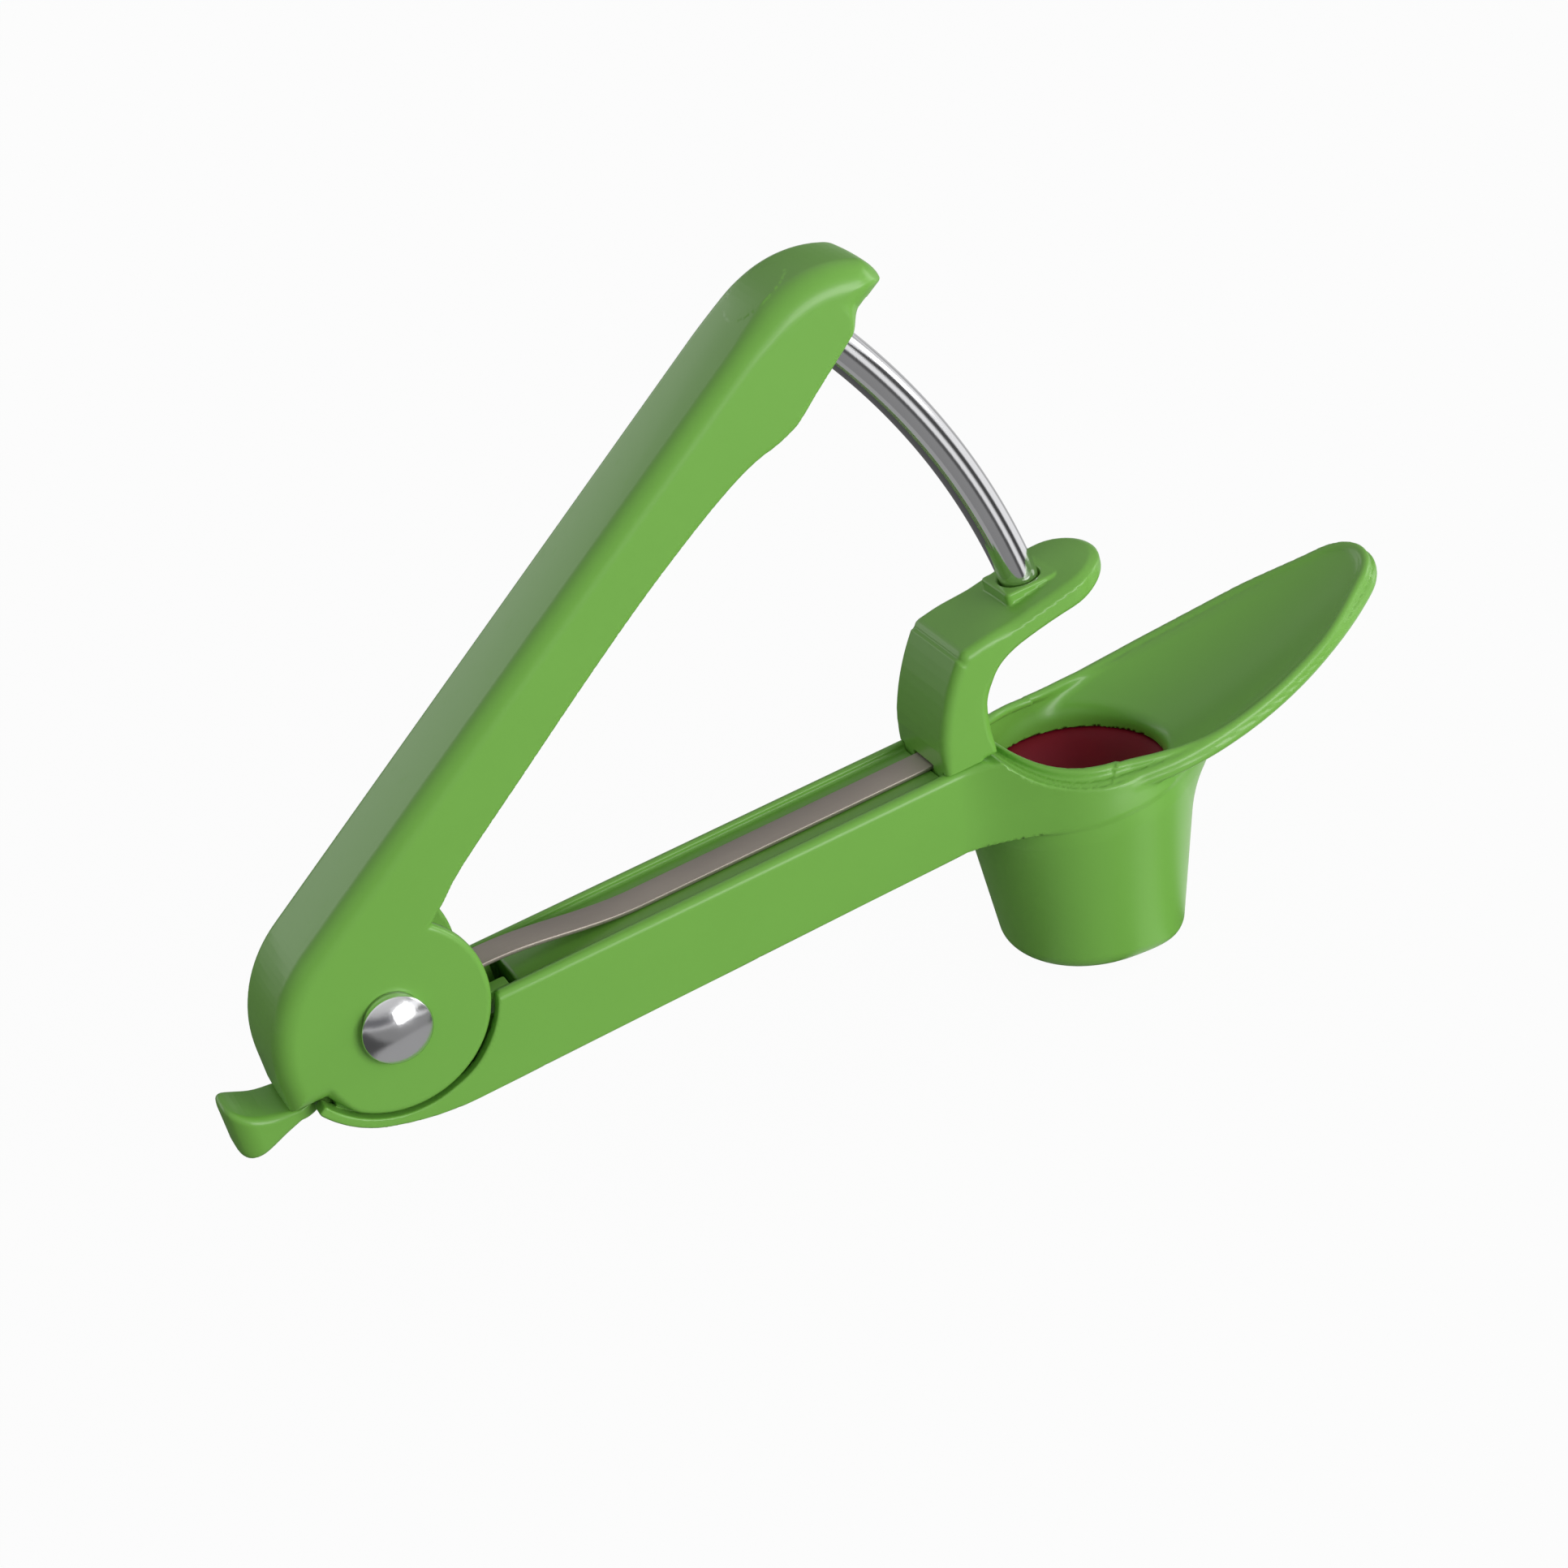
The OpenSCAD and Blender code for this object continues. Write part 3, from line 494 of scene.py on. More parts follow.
def lever_field(x, y, z):
    """Distance to the upper lever."""
    w = np.abs(y)
    around = np.hypot(x, z)
    back = outline_distance(x, z, BACK_CLOSED)
    near_back = 1 - ease((-back - 5.5) / 4)
    u = x * math.cos(OPEN_A) + z * math.sin(OPEN_A)
    nose = ease((u - 106) / 13)
    cheek_edge = 1 - ease((around - CHEEK_R - 1) / 3)
    r = 0.7 + (2.3 + 1.2 * nose) * near_back + 0.3 * cheek_edge * (1 - near_back)
    side = np.minimum(outline_distance(x, z, LEVER_SIDE), around - CHEEK_R)
    side = side + 0.25 * (w / ARM_HALF) ** 2 * near_back
    # The nose is rounded seen from above too
    front = u - NOSE_END - 0.25 + 0.008 * w ** 2 * nose
    side = soft_max(side, front, 0.8)
    solid = round_max(side, w - ARM_HALF, r)
    hollow = np.minimum(outline_distance(x, z, HOLLOW_FRONT), outline_distance(x, z, HOLLOW_REAR))
    hollow = np.minimum(hollow, around - CHEEK_R - 1)
    hollow = np.maximum(np.maximum(hollow, back + 1.9), w - INNER_HALF)
    body = round_max(solid, -hollow, 0.45)
    # Boss round the punch's root, and the catches that hold the lock's hooks
    angle = np.degrees(np.arctan2(z, x))
    boss = np.hypot(around - PUNCH_ARC, w) - PUNCH_R - 2
    boss = np.maximum(boss, np.maximum(36.7 - angle, angle - 43.5) * 2)
    body = soft_min(body, np.maximum(boss, solid), 0.3)
    catch = np.maximum(np.abs(around - 12.2) - 1, np.abs(angle + 11) * 0.21 - 0.85)
    body = np.minimum(body, np.maximum(catch, np.abs(w - 5.5) - 1.5))
    return np.maximum(body, PIN_R + 0.05 - around)


def post_side():
    """Outline of the guide post: its leaning back, the bend, the plate's top and the flowing underside."""
    back = []
    for t in np.linspace(0, 0.94, 11):
        bow = 4 * 1.3 * t * (1 - t) + 0.65 * ease(t / 0.25)
        back.append((POST_X + 7.8 * t - bow * 0.919, ARM_TOP + 18.2 * t + bow * 0.394))
    bend = arc(102.1, 12.95, 1.8, 158, 104, 4)
    top = flowing([(117.0, 17.55), (122.0, 18.55), (126.0, 18.95), (130.2, 18.6)], 3)
    low = flowing([(130.2, 15.9), (126.0, 14.9), (121.9, 13.9), (117.4, 13.2), (112.8, 12.3), (109.8, 11.5),
                   (107.4, 10.4), (105.6, 8.9), (104.0, 6.4), (103.0, 3.1), (102.6, ARM_TOP)], 3)
    return [(POST_X, WELL_FLOOR)] + back + bend + top + low + [(SOCKET_END, ARM_TOP), (SOCKET_END, WELL_FLOOR)]


POST_SIDE = post_side()


def post_field(x, y, z):
    """Distance to the guide post and its plate."""
    w = np.abs(y)
    tip = np.hypot(x - PLATE_TIP_X, w) - PLATE_HALF
    plan = np.where(x > PLATE_TIP_X, tip, w - PLATE_HALF)
    slope = math.radians(12)
    up = (z - 17.54) * math.cos(slope) - (x - 116.9) * math.sin(slope)
    # The plate's top is slightly crowned and falls off towards its end
    high = ease((up + 2.6) / 1.6)
    side = outline_distance(x, z, POST_SIDE) + 0.8 * (w / PLATE_HALF) ** 2 * high * ease((x - 104) / 8)
    r = 1.0 + 0.6 * np.maximum(high, ease((105 - x) / 2) * ease((z + 3) / 3))
    body = round_max(side, plan, r)
    tenon = np.maximum(w - INNER_HALF, z + 3.9)
    body = np.where(z < -3.95, np.maximum(side, tenon), body)
    # Low collar round the guide hole, level along the tool, so that it runs out into the rising plate
    square = round_max(np.abs(x - COLLAR_X) - 4.6, w - 4.4, 0.8)
    collar = round_max(square, np.maximum(z - 18.4, 15 - z), 0.4)
    body = soft_min(body, collar, 0.3)
    hole = np.hypot(np.hypot(x, z) - PUNCH_ARC, w) - PUNCH_R - 0.3
    hole = np.where(z > 8, hole, 5)
    # Slot at the foot that takes the end of the spring
    slot = np.maximum(np.maximum(np.abs(z - LEG_Z) - 0.5, x - 95.9), w - 3.3)
    body = round_max(body, -hole, 0.35)
    return np.maximum(body, -slot)


def insert_field(x, y, z):
    """Distance to the dished insert, which lies on the seat in the cup."""
    h, s = cup_place(x, z)
    rho = np.hypot(s, y)
    top = SEAT_H + 1.6 - 5.5 * ease((15.2 - rho) / 9)
    low = SEAT_H - 5.1 * ease((14.2 - rho) / 8)
    body = np.maximum((h - top) * 0.85, (low - h) * 0.85)
    body = round_max(body, rho - 17.15, 0.5)
    body = np.where(h < SEAT_H, np.maximum(body, rho - 14.1), body)
    hole = np.hypot(np.hypot(x, z) - PUNCH_ARC, y) - PUNCH_R - 0.9
    return round_max(body, -hole, 0.45)


TAB_SIDE = (
    [(3.0, -11.2), (3.0, -9.3)]
    + flowing([(-17.3, -9.3), (-19.0, -8.9), (-22.0, -8.2), (-24.5, -7.0), (-26.4, -5.6), (-27.4, -5.6),
               (TAB_END, -6.6)], 3)
    + flowing([(TAB_END, -12.6), (-27.3, -13.9), (-26.0, -14.4), (-23.5, -13.9), (-20.5, -12.7), (-17.3, -11.2)], 3)
)
HOOK_SIDE = [(16.5, -15.65), (18.6, -15.65), (18.6, -4.4), (13.6, -4.4), (13.6, -5.9), (16.5, -5.9)]


def slider_field(x, y, z):
    """Distance to the lock slider: tab, block and two hooks."""
    w = np.abs(y)
    side = outline_distance(x, z, TAB_SIDE)
    wide = round_max(w - 5.2, np.maximum(TAB_END - x, x + 13), 4.2)
    narrow = np.maximum(w - NECK_HALF, np.maximum(-14 - x, x - 3))
    r = 0.3 + 0.9 * ease((-16 - x) / 5)
    tab = round_max(side, np.minimum(wide, narrow), r)
    block = np.maximum(np.maximum(w - NECK_HALF, np.abs(x - 10.3) - 8.3), np.abs(z + 12.475) - 3.175)
    hook_plan = np.abs(w - 5.05) - 1.35
    hooks = np.maximum(hook_plan, outline_distance(x, z, HOOK_SIDE))
    return np.minimum(tab, np.minimum(block, hooks))


# ---- Finishes ----

class Wire:
    """A socket's value. Python's operators on it add Math nodes."""

    def __init__(self, finish, socket):
        self.finish, self.socket = finish, socket

    def math(self, kind, *values):
        return self.finish.node("ShaderNodeMath", {"operation": kind}, dict(enumerate(values)))

    def __add__(self, other):
        return self.math("ADD", self, other)

    def __sub__(self, other):
        return self.math("SUBTRACT", self, other)

    def __rsub__(self, other):
        return self.math("SUBTRACT", other, self)

    def __mul__(self, other):
        return self.math("MULTIPLY", self, other)

    def __truediv__(self, other):
        return self.math("DIVIDE", self, other)

    def __pow__(self, other):
        return self.math("POWER", self, other)

    __radd__ = __add__
    __rmul__ = __mul__

    def clamped(self):
        return self.finish.node("ShaderNodeClamp", {}, {"Value": self})


class Finish:
    """A node tree of a material or of the world."""

    def __init__(self, tree):
        self.tree = tree
        tree.nodes.clear()

    def node(self, kind, settings, inputs, output=0):
        made = self.tree.nodes.new(kind)
        for key, value in settings.items():
            if key == "stops":
                ramp = made.color_ramp
                while len(ramp.elements) < len(value):
                    ramp.elements.new(0.5)
                for element, (place, colour) in zip(ramp.elements, value):
                    element.position, element.color = place, colour
            else:
                setattr(made, key, value)
        for key, value in inputs.items():
            sockets = [s for s in made.inputs if s.identifier == key or s.name == key]
            socket = made.inputs[key] if isinstance(key, int) else sockets[0]
            if isinstance(value, Wire):
                self.tree.links.new(value.socket, socket)
            else:
                socket.default_value = value
        outputs = [s for s in made.outputs if s.identifier == output or s.name == output] or list(made.outputs)
        return Wire(self, outputs[0]) if outputs else None

    def place(self):
        """Position on the object itself."""
        return self.node("ShaderNodeTexCoord", {}, {}, "Object")

    def stretched(self, where, scale, shift=(0.0, 0.0, 0.0)):
        return self.node("ShaderNodeMapping", {}, {"Vector": where, "Location": shift, "Scale": scale})

    def part(self, where, axis):
        """One coordinate of a position."""
        return self.node("ShaderNodeSeparateXYZ", {}, {"Vector": where}, axis)

    def noise(self, where, scale, detail=2.0, rough=0.5):
        return self.node("ShaderNodeTexNoise", {},
                         {"Vector": where, "Scale": scale, "Detail": detail, "Roughness": rough})

    def mix(self, factor, a, b):
        return self.node("ShaderNodeMix", {"data_type": "RGBA", "blend_type": "MIX"},
                         {"Factor_Float": factor, "A_Color": a, "B_Color": b}, "Result_Color")

    def ramp(self, factor, stops):
        return self.node("ShaderNodeValToRGB", {"stops": stops}, {"Fac": factor}, "Color")

    def greys(self, factor, stops):
        """Ramp through stops of (place, brightness)."""
        return self.ramp(factor, [(t, (v, v, v, 1)) for t, v in stops])

    def bump(self, strength, distance, height):
        return self.node("ShaderNodeBump", {}, {"Strength": strength, "Distance": distance, "Height": height})

    def surface(self, inputs):
        """One plain surface as the material's output."""
        made = self.node("ShaderNodeBsdfPrincipled", {}, inputs)
        self.node("ShaderNodeOutputMaterial", {}, {"Surface": made})


def share_of_turn(across, along):
    """Bearing round the upright axis, from 0 to 1."""
    return (across.math("ARCTAN2", across, along) + math.pi) / (2 * math.pi)


def rgba(colour, gain):
    return (colour[0] * gain, colour[1] * gain, colour[2] * gain, 1.0)


def new_material(name):
    material = bpy.data.materials.new(name)
    material.use_nodes = True
    return material, Finish(material.node_tree)


def moulded_plastic(name, colour, rough, seed):
    """Glossy moulded plastic: faint flow marks and mottling in its colour, tiny ripples and fine handling marks."""
    material, f = new_material(name)
    moved = f.stretched(f.place(), (1.0, 1.0, 1.0), (seed, seed * 0.7, 0.0))
    mottle = f.noise(moved, 55.0, 3.0)
    streak = f.noise(f.stretched(moved, (14.0, 60.0, 60.0)), 1.0, 2.0)
    shade = (mottle * 0.6 + streak * 0.4 - 0.5) * 0.5 + 0.5
    base = f.mix(shade.clamped(), rgba(colour, 0.93), rgba(colour, 1.07))
    scuffs = f.noise(f.stretched(moved, (90.0, 700.0, 700.0)), 1.0, 4.0, 0.65)
    marks = f.node("ShaderNodeMapRange", {"clamp": True},
                   {"Value": scuffs, "From Min": 0.6, "From Max": 0.8, "To Min": 0.0, "To Max": 0.12})
    grain = f.noise(moved, 900.0, 2.0)
    ripple = f.noise(moved, 170.0, 1.0)
    f.surface({"Base Color": base, "Roughness": rough + marks + mottle * 0.04,
               "Normal": f.bump(0.08, 0.0002, grain * 0.25 + ripple * 0.75),
               "IOR": 1.49, "Specular IOR Level": 0.45, "Coat Roughness": 0.08, "Coat Weight": 0.08})
    return material


def soft_rubber(name, colour):
    """Smooth soft ring: slightly dusty, with a faint ripple from the mould."""
    material, f = new_material(name)
    place = f.place()
    cloud = f.noise(place, 120.0, 3.0)
    fine = f.noise(place, 1500.0, 2.0)
    base = f.mix(cloud, rgba(colour, 0.75), rgba(colour, 1.3))
    f.surface({"Base Color": base, "Roughness": cloud * 0.15 + 0.42,
               "Normal": f.bump(0.1, 0.0002, cloud * 0.7 + fine * 0.3), "IOR": 1.43, "Specular IOR Level": 0.25})
    return material


def polished_metal(name, colour, rough, scratches):
    """Bright plated metal with hairline polishing marks and faint smudges."""
    material, f = new_material(name)
    place = f.place()
    smudge = f.noise(place, 180.0, 3.0)
    lines = f.noise(f.stretched(place, (3000.0, 3000.0, 300.0)), 1.0, 2.0)
    base = f.mix(smudge, rgba(colour, 0.92), rgba(colour, 1.0))
    f.surface({"Base Color": base, "Metallic": 1.0, "Roughness": smudge * 0.08 + rough,
               "Normal": f.bump(scratches, 0.0001, lines)})
    return material


def strip_steel(name, colour):
    """Plain rolled strip steel: rolling lines along the strip and a slight tarnish."""
    material, f = new_material(name)
    place = f.place()
    rolled = f.noise(f.stretched(place, (40.0, 1600.0, 40.0)), 1.0, 3.0)
    tarnish = f.noise(place, 60.0, 4.0)
    base = f.mix(tarnish, rgba(colour, 0.8), rgba(colour, 1.15))
    f.surface({"Base Color": base, "Metallic": 0.75, "Roughness": rolled * 0.15 + 0.36 + tarnish * 0.08,
               "Normal": f.bump(0.15, 0.0001, rolled)})
    return material


# ---- Settings ----

def size_of(label, value, text):
    return bpy.props.FloatProperty(name=label, description=text, default=value, min=0.0001, soft_max=0.01,
                                   subtype="DISTANCE", unit="LENGTH")


def colour_of(label, value, text):
    return bpy.props.FloatVectorProperty(name=label, description=text, default=value, size=3, min=0.0, max=1.0,
                                         subtype="COLOR")


class PitterSizes(bpy.types.PropertyGroup):
    """Sizes that a user may change."""
    mesh_step: size_of("Mesh step", 0.0005, "Spacing of the mesh over the arm and the lever")
    fine_step: size_of("Fine mesh step", 0.0004, "Spacing of the mesh over the small moulded pieces")
    strip_width: size_of("Spring width", 0.0056, "Width of the spring strip")
    strip_thickness: size_of("Spring thickness", 0.0008, "Thickness of the spring strip")


class PitterFinishes(bpy.types.PropertyGroup):
    """Colours and gloss of the pieces."""
    plastic: colour_of("Plastic", (0.19, 0.47, 0.07), "Colour of the moulded plastic")
    rubber: colour_of("Insert", (0.22, 0.006, 0.02), "Colour of the soft insert")
    steel: colour_of("Spring steel", (0.40, 0.35, 0.31), "Colour of the spring strip")
    chrome: colour_of("Bright metal", (0.86, 0.86, 0.88), "Colour of the punch and the rivet")
    plastic_gloss: bpy.props.FloatProperty(name="Plastic roughness", description="Roughness of the moulded plastic",
                                           default=0.34, min=0.02, max=1.0, subtype="FACTOR")


def step_for(size):
    return size / MM * 1.0


def dress(piece, material, body):
    """Give a piece its finish and the body that it moves with."""
    piece.data.materials.append(material)
    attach(piece, body)


def plastic(name, seed):
    """The moulded plastic, with its marks in another place on each piece."""
    look = bpy.context.scene.pitter_finishes
    return moulded_plastic(name, tuple(look.plastic), look.plastic_gloss, seed)


# ---- Operators ----

class PITTER_OT_lower_arm(bpy.types.Operator):
    """Build the lower arm with its well and trough, cup, scoop and beaded rim"""
    bl_idname = "pitter.lower_arm"
    bl_label = "Lower arm"

    def execute(self, context):
        step = step_for(context.scene.pitter_sizes.mesh_step)
        piece = skin("moulded_arm", arm_field, (-18.6, -20.2, -50.5), (179, 20.2, 1.5), step)
        dress(piece, plastic("Green moulded arm", 0.0), "base")
        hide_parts("lower_arm")
        return {"FINISHED"}


class PITTER_OT_lever(bpy.types.Operator):
    """Build the upper lever with its crowned back, nose and round cheeks"""
    bl_idname = "pitter.lever"
    bl_label = "Upper lever"

    def execute(self, context):
        step = step_for(context.scene.pitter_sizes.mesh_step)
        piece = skin("moulded_lever", lever_field, (-20.3, -9.9, -17), (106, 9.9, 83), step)
        dress(piece, plastic("Green moulded lever", 0.3), "upper_lever")
        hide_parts("lever")
        return {"FINISHED"}


class PITTER_OT_guide_post(bpy.types.Operator):
    """Build the guide post with its bent plate and collar"""
    bl_idname = "pitter.guide_post"
    bl_label = "Guide post"

    def execute(self, context):
        step = step_for(context.scene.pitter_sizes.fine_step)
        piece = skin("moulded_guide_post", post_field, (91, -9.9, -17.8), (131.5, 9.9, 22), step)
        dress(piece, plastic("Green moulded post", 0.6), "base")
        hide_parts("guide_post")
        return {"FINISHED"}


class PITTER_OT_lock_slider(bpy.types.Operator):
    """Build the lock slider with its flared pull tab"""
    bl_idname = "pitter.lock_slider"
    bl_label = "Lock slider"

    def execute(self, context):
        step = step_for(context.scene.pitter_sizes.fine_step)
        piece = skin("moulded_slider", slider_field, (-29, -7.6, -17), (20, 7.6, -3), step)
        dress(piece, plastic("Green moulded slider", 0.9), "lock")
        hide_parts("lock_slider")
        return {"FINISHED"}


class PITTER_OT_insert(bpy.types.Operator):
    """Build the soft dished insert of the cup"""
    bl_idname = "pitter.insert"
    bl_label = "Cup insert"

    def execute(self, context):
        step = step_for(context.scene.pitter_sizes.fine_step)
        piece = skin("soft_ring", insert_field, (95, -18.5, -28), (138, 18.5, -13), step)
        look = context.scene.pitter_finishes
        dress(piece, soft_rubber("Dark red soft ring", tuple(look.rubber)), "base")
        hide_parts("cup_insert")
        return {"FINISHED"}


class PITTER_OT_spring(bpy.types.Operator):
    """Build the bent spring strip, which bends where it passes round the pin"""
    bl_idname = "pitter.spring"
    bl_label = "Return spring"

    def execute(self, context):
        sizes = context.scene.pitter_sizes
        t, w = sizes.strip_thickness / MM, sizes.strip_width / MM
        r = PIN_R + 0.2 + t / 2
        leg_end, rise_start, bow_x, upper_leg = 95.6, 43, 17, 82
        under_back = BACK_TOP - BACK_DROP * upper_leg / ARCH_U - WALL - 0.25
        up = OPEN_A + math.asin((under_back - r - t / 2) / upper_leg)
        # From the post along the trough, over the bow, round the pin and up inside the lever
        centres = [(x, LEG_Z) for x in np.linspace(leg_end, rise_start, 28)]
        for s in np.linspace(0, 1, 21)[1:]:
            swing = (1 - math.cos(math.pi * s)) / 2
            centres.append((rise_start - (rise_start - bow_x) * s, LEG_Z + (BOW_Z - LEG_Z) * swing))
        for s in np.linspace(0, 1, 15)[1:]:
            swing = (1 - math.cos(math.pi * s)) / 2
            centres.append((bow_x * (1 - s), BOW_Z - (r + BOW_Z) * swing))
        centres += [(-r * math.sin(a), -r * math.cos(a)) for a in np.linspace(0, math.pi - up, 26)[1:]]
        for s in np.linspace(0, upper_leg, 44)[1:]:
            centres.append((s * math.cos(up) - r * math.sin(up), s * math.sin(up) + r * math.cos(up)))
        c = np.array(centres)
        along = np.gradient(c, axis=0)
        along /= np.linalg.norm(along, axis=1, keepdims=True)
        across = np.stack([-along[:, 1], along[:, 0]], 1)
        edge = 0.25
        section = []
        for sx, sy, a0 in ((1, 1, 0), (-1, 1, 90), (-1, -1, 180), (1, -1, 270)):
            for a in np.radians(np.linspace(a0, a0 + 90, 4)):
                section.append((sx * (t / 2 - edge) + edge * math.cos(a), sy * (w / 2 - edge) + edge * math.sin(a)))
        piece = swept("spring_strip", c, across, section)
        look = context.scene.pitter_finishes
        piece.data.materials.append(strip_steel("Rolled spring steel", tuple(look.steel)))
        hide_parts("return_spring")
        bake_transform(piece)
        return {"FINISHED"}


class PITTER_OT_metal(bpy.types.Operator):
    """Build the bent punch and the domed rivet with its far head"""
    bl_idname = "pitter.metal"
    bl_label = "Punch and rivet"

    def execute(self, context):
        chrome = tuple(context.scene.pitter_finishes.chrome)
        a = np.radians(np.linspace(7.0, 41.0, 90))
        centres = np.stack([PUNCH_ARC * np.cos(a), PUNCH_ARC * np.sin(a)], 1)
        across = np.stack([np.cos(a), np.sin(a)], 1)
        ring = np.radians(np.arange(56) * 360 / 56)
        section = [(PUNCH_R * math.cos(q), PUNCH_R * math.sin(q)) for q in ring]
        rod = swept("bent_punch", centres, across, section)
        dress(rod, polished_metal("Polished punch", chrome, 0.06, 0.03), "upper_lever")
        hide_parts("punch_rod")
        material = polished_metal("Polished rivet", chrome, 0.16, 0.12)
        dome_r = (HEAD_R ** 2 + HEAD_H ** 2) / (2 * HEAD_H)
        top = math.asin(HEAD_R / dome_r)
        for name, node, sign in (("rivet_head", "pivot_rivet", -1), ("rivet_far_head", "rivet_cap", 1)):
            profile = [(dome_r * math.sin(q), HEAD_STAND + HEAD_H - dome_r + dome_r * math.cos(q))
                       for q in np.linspace(0, top, 22)]
            profile += [(HEAD_R, 1.15), (HEAD_R - 0.1, 0.9), (HEAD_R - 0.5, 0.5), (HEAD_R - 0.8, 0.0)]
            if sign < 0:
                profile += [(PIN_R, 0.0), (PIN_R, -17.7), (PIN_R - 0.8, -17.8), (PIN_R - 0.8, -18.6), (0.0, -18.6)]
            else:
                profile += [(1.7, 0.0), (1.7, 1.1), (0.0, 1.1)]
            # The heads sit a little low on the pin
            piece = lathed(name, profile, 72,
                           lambda p, q, h, s=sign: (p, s * (ARM_HALF + 0.1 + h), q - HEAD_DROP * ease(h)))
            dress(piece, material, "base")
            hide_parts(node)
        return {"FINISHED"}


class PITTER_OT_stage(bpy.types.Operator):
    """Build the floor, the lamps, the world and the camera"""
    bl_idname = "pitter.stage"
    bl_label = "Studio"

    def execute(self, context):
        scene = context.scene
        scene.view_settings.view_transform = "Standard"
        build_camera(scene)
        build_floor()
        build_lamps(scene)
        return {"FINISHED"}


# Camera as fitted to the outlines: bearing, height and roll in radians, the point it looks at and its distance
# in millimetres, and its focal length and frame in pixels
CAMERA_BEARING = -0.29196426
CAMERA_HEIGHT = 0.51542932
CAMERA_ROLL = -0.29600223
CAMERA_TARGET = (70.4575, 0, 2.5564)
CAMERA_DISTANCE = 511.979
FOCAL_PIXELS = 4106.506
FRAME_PIXELS = 1932
SENSOR_WIDTH = 36.0


def build_camera(scene):
    az, el, roll = CAMERA_BEARING, CAMERA_HEIGHT, CAMERA_ROLL
    view = Vector((math.cos(el) * math.sin(az), -math.cos(el) * math.cos(az), math.sin(el)))
    right = (-view).cross(Vector((0, 0, 1))).normalized()
    up = right.cross(-view)
    turned_right = math.cos(roll) * right + math.sin(roll) * up
    turned_up = -math.sin(roll) * right + math.cos(roll) * up
    place = (Vector(CAMERA_TARGET) + view * CAMERA_DISTANCE) * MM + PIVOT
    data = bpy.data.cameras.new("Camera")
    data.sensor_width = SENSOR_WIDTH
    data.lens = SENSOR_WIDTH * FOCAL_PIXELS / FRAME_PIXELS
    data.clip_start, data.clip_end = 0.01, 50.0
    camera = bpy.data.objects.new("Camera", data)
    turn = Matrix((turned_right, turned_up, view)).transposed().to_4x4()
    camera.matrix_world = Matrix.Translation(place) @ turn
    scene.collection.objects.link(camera)
    scene.camera = camera


# Bands of painted reflection on the floor: place round the tool in turns from behind the pivot, and brightness
FLOOR_PAINTED_REFLECTIONS = [(0.0, 0.06), (0.07, 0.06), (0.095, 0.23), (0.262, 0.25), (0.284, 0.08), (0.308, 0.08), (0.328, 0.85),
               (0.362, 0.85), (0.392, 0.05), (0.432, 0.05), (0.458, 0.9), (0.545, 0.9), (0.583, 0.35), (0.62, 0.6),
               (0.69, 0.5), (0.74, 0.1), (1.0, 0.06)]


def build_floor():
    n, reach = 24, 4.0
    points = [(reach * (2 * i / n - 1), reach * (2 * j / n - 1), 0.0) for i in range(n + 1) for j in range(n + 1)]
    mesh = bpy.data.meshes.new("Floor")
    mesh.from_pydata(points, [], grid_faces(n + 1, n + 1, closed_columns=False))
    floor = bpy.data.objects.new("Floor", mesh)
    bpy.context.scene.collection.objects.link(floor)
    material, f = new_material("Pale paper floor")
    place = f.place()
    paper = f.noise(place, 300.0, 3.0)
    tone = f.mix(paper, (0.62, 0.62, 0.62, 1), (0.66, 0.66, 0.66, 1))
    matt = f.node("ShaderNodeBsdfPrincipled", {}, {"Base Color": tone, "Roughness": 0.9, "Specular IOR Level": 0.1})
    glow = f.node("ShaderNodeEmission", {}, {"Color": (1, 1, 1, 1), "Strength": 1.0})
    seen = f.node("ShaderNodeLightPath", {}, {}, "Is Camera Ray")
    mirrored = f.node("ShaderNodeLightPath", {}, {}, "Is Glossy Ray")
    through = f.node("ShaderNodeLightPath", {}, {}, "Is Transmission Ray")
    # Painted reflections: pale and dark bands, standing in for studio cards in a fan round the tool, are painted
    # into the floor's glow, which only glossy rays see
    across = f.part(place, "Y")
    along = f.part(place, "X") - 0.033
    painted_reflections = f.greys(share_of_turn(across, along), FLOOR_PAINTED_REFLECTIONS)
    # A painted reflection of a small grey card, painted into the floor's glow under the pivot
    squared = (along + 0.095) ** 2 + (across + 0.03) ** 2
    painted_grey_card = f.node("ShaderNodeMapRange", {"clamp": True},
                  {"Value": squared.math("SQRT", squared), "From Min": 0.06, "From Max": 0.045, "To Max": 0.34})
    painted_reflections = painted_grey_card.math("MAXIMUM", painted_grey_card, painted_reflections)
    share = (seen * 0.96 + mirrored * painted_reflections + through * 0.96).clamped()
    dark = f.node("ShaderNodeEmission", {}, {"Color": (0, 0, 0, 1), "Strength": 0.0})
    unlit = f.node("ShaderNodeMixShader", {}, {0: mirrored * 0.97, 1: matt, 2: dark})
    surface = f.node("ShaderNodeMixShader", {}, {0: share, 1: unlit, 2: glow})
    f.node("ShaderNodeOutputMaterial", {}, {"Surface": surface})
    mesh.materials.append(material)


def add_lamp(scene, name, place, target, size, power):
    """A white softbox that faces the target."""
    data = bpy.data.lights.new(name, "AREA")
    data.shape = "RECTANGLE"
    data.size, data.size_y = size
    data.energy = power
    lamp = bpy.data.objects.new(name, data)
    lamp.location = place
    lamp.rotation_euler = (Vector(target) - Vector(place)).to_track_quat("-Z", "Y").to_euler()
    scene.collection.objects.link(lamp)


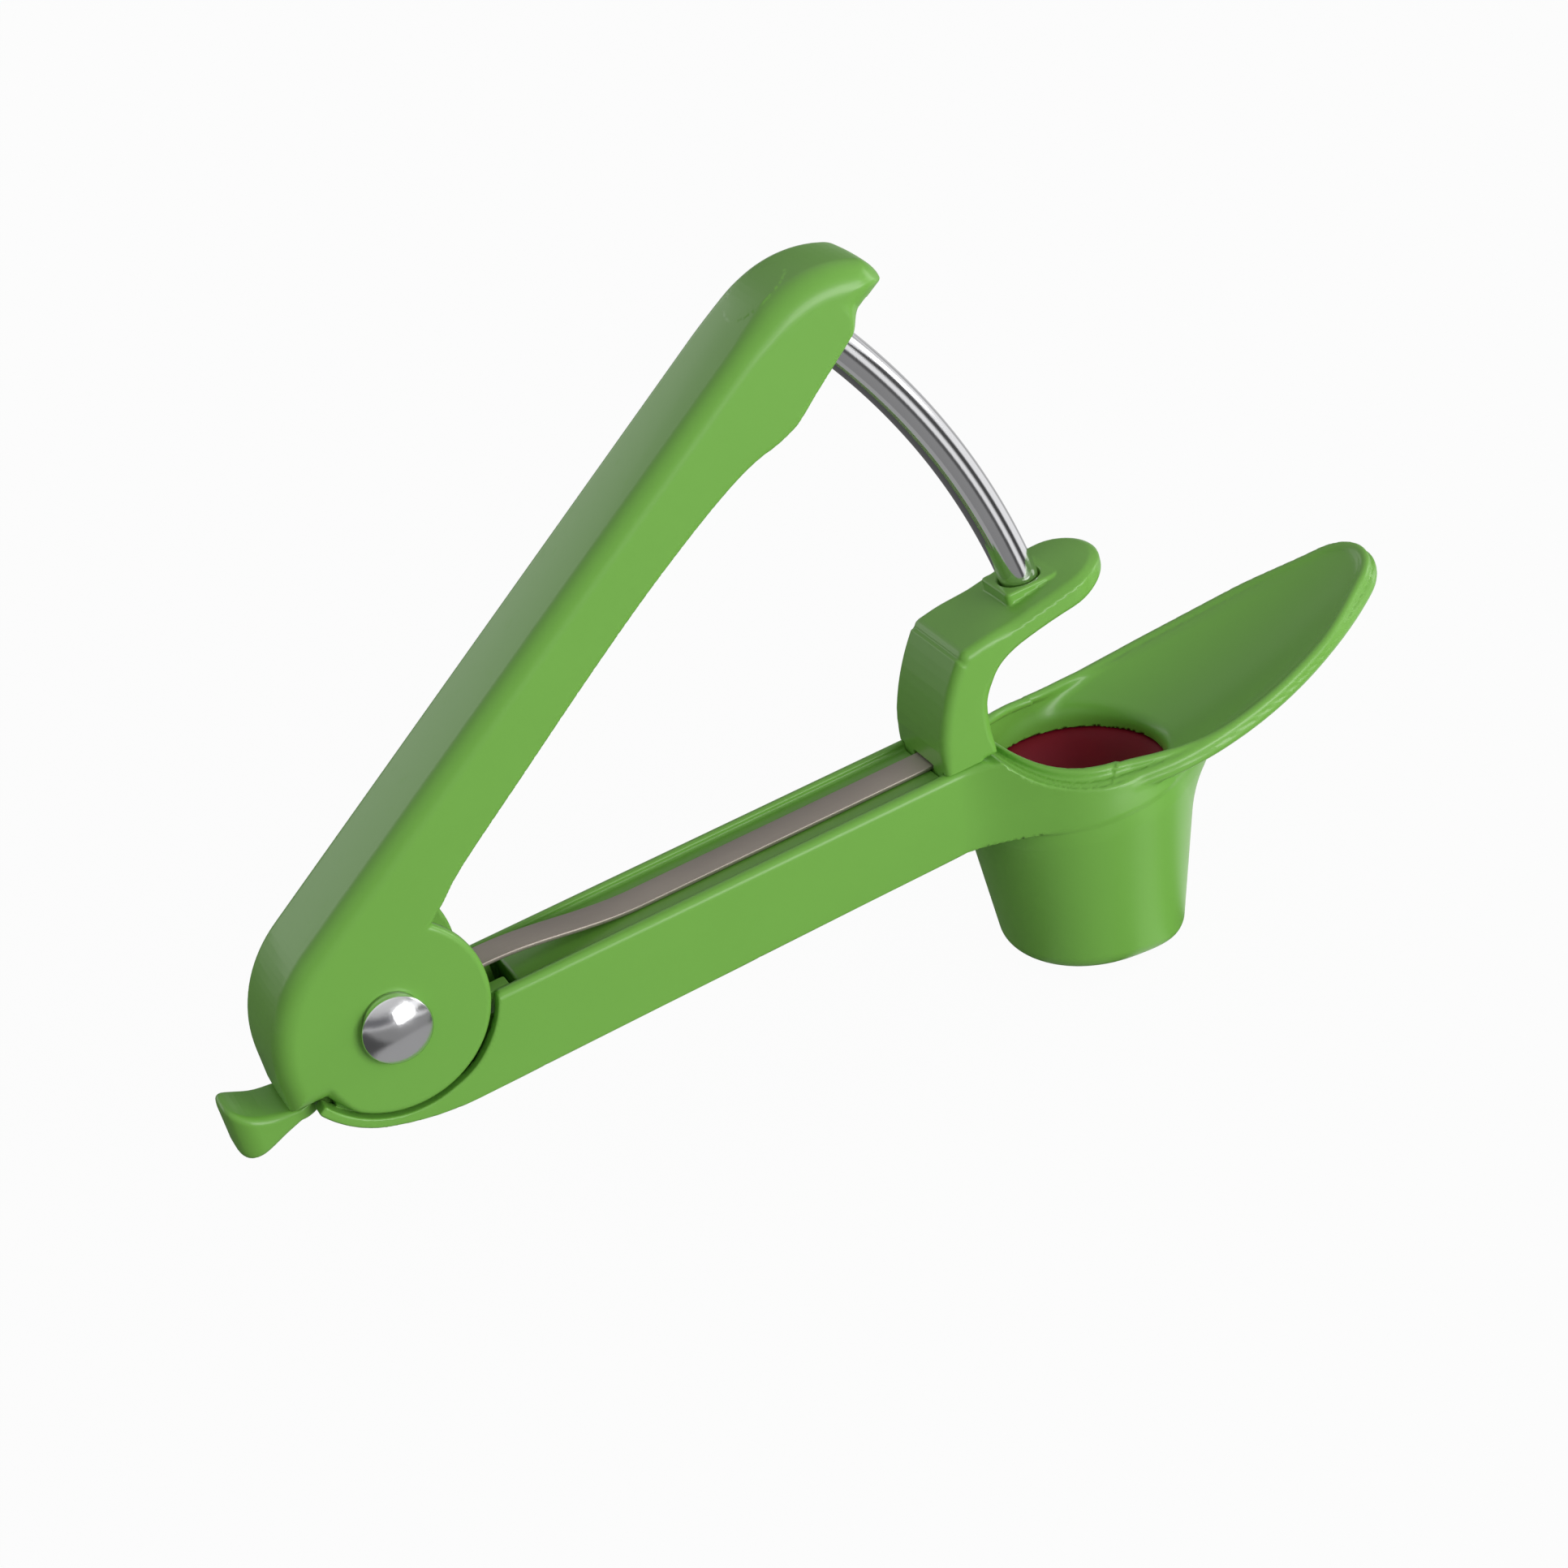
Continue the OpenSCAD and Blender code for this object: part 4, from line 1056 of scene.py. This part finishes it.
def build_lamps(scene):
    middle = (0.0, 0.0, 0.05)
    add_lamp(scene, "Front softbox", (0.50, -1.05, 0.25), middle, (0.8, 0.6), 9.6)
    add_lamp(scene, "Right softbox", (1.15, -0.15, 0.30), middle, (0.4, 0.6), 2.5)
    add_lamp(scene, "Back softbox", (-0.45, 1.00, 0.42), middle, (1.0, 0.35), 1.7)
    world = bpy.data.worlds.new("Studio")
    scene.world = world
    world.use_nodes = True
    f = Finish(world.node_tree)
    seen = f.node("ShaderNodeLightPath", {}, {}, "Is Camera Ray")
    mirrored = f.node("ShaderNodeLightPath", {}, {}, "Is Glossy Ray")
    where = f.node("ShaderNodeTexCoord", {}, {}, "Generated")
    height = f.part(where, "Z")
    # Dark studio walls with a pale ceiling, seen in reflections only
    room = f.ramp(height.clamped(), [
        (0.0, (0.75, 0.75, 0.75, 1)), (0.12, (0.16, 0.16, 0.17, 1)), (0.3, (0.10, 0.10, 0.11, 1)),
        (0.5, (0.5, 0.5, 0.5, 1)), (1.0, (0.8, 0.8, 0.8, 1))])
    # A pale card stands low at the right front
    turn = share_of_turn(f.part(where, "Y"), f.part(where, "X"))
    wide = f.greys(turn, [(0.34, 0), (0.36, 1), (0.50, 1), (0.53, 0)])
    low = f.node("ShaderNodeMapRange", {"clamp": True}, {"Value": height, "From Min": 0.32, "From Max": 0.24})
    room = f.mix(wide * low, room, (0.95, 0.95, 0.95, 1))
    tone = f.mix(mirrored, (0.32, 0.32, 0.32, 1), room)
    tone = f.mix(seen, tone, (1, 1, 1, 1))
    light = f.node("ShaderNodeBackground", {}, {"Color": tone, "Strength": 1.0})
    f.node("ShaderNodeOutputWorld", {}, {"Surface": light})


class PITTER_PT_panel(bpy.types.Panel):
    """Lists the pieces of the pitter and their settings"""
    bl_idname = "PITTER_PT_panel"
    bl_label = "Cherry Pitter"
    bl_space_type = "VIEW_3D"
    bl_region_type = "UI"
    bl_category = "Cherry Pitter"

    def draw(self, context):
        column = self.layout.column()
        for operator in OPERATORS:
            column.operator(operator.bl_idname)
        for group in (context.scene.pitter_sizes, context.scene.pitter_finishes):
            for key in group.bl_rna.properties.keys():
                if key not in ("rna_type", "name"):
                    column.prop(group, key)


OPERATORS = (PITTER_OT_lower_arm, PITTER_OT_lever, PITTER_OT_guide_post, PITTER_OT_lock_slider, PITTER_OT_insert,
             PITTER_OT_spring, PITTER_OT_metal, PITTER_OT_stage)
CLASSES = (PitterSizes, PitterFinishes) + OPERATORS + (PITTER_PT_panel,)


def register():
    for item in CLASSES:
        bpy.utils.register_class(item)
    bpy.types.Scene.pitter_sizes = bpy.props.PointerProperty(type=PitterSizes)
    bpy.types.Scene.pitter_finishes = bpy.props.PointerProperty(type=PitterFinishes)


def unregister():
    del bpy.types.Scene.pitter_finishes
    del bpy.types.Scene.pitter_sizes
    for item in reversed(CLASSES):
        bpy.utils.unregister_class(item)


def main():
    register()
    bpy.ops.pitter.stage()
    bpy.ops.pitter.lower_arm()
    bpy.ops.pitter.lever()
    bpy.ops.pitter.guide_post()
    bpy.ops.pitter.lock_slider()
    bpy.ops.pitter.insert()
    bpy.ops.pitter.spring()
    bpy.ops.pitter.metal()


if __name__ == "__main__":
    main()
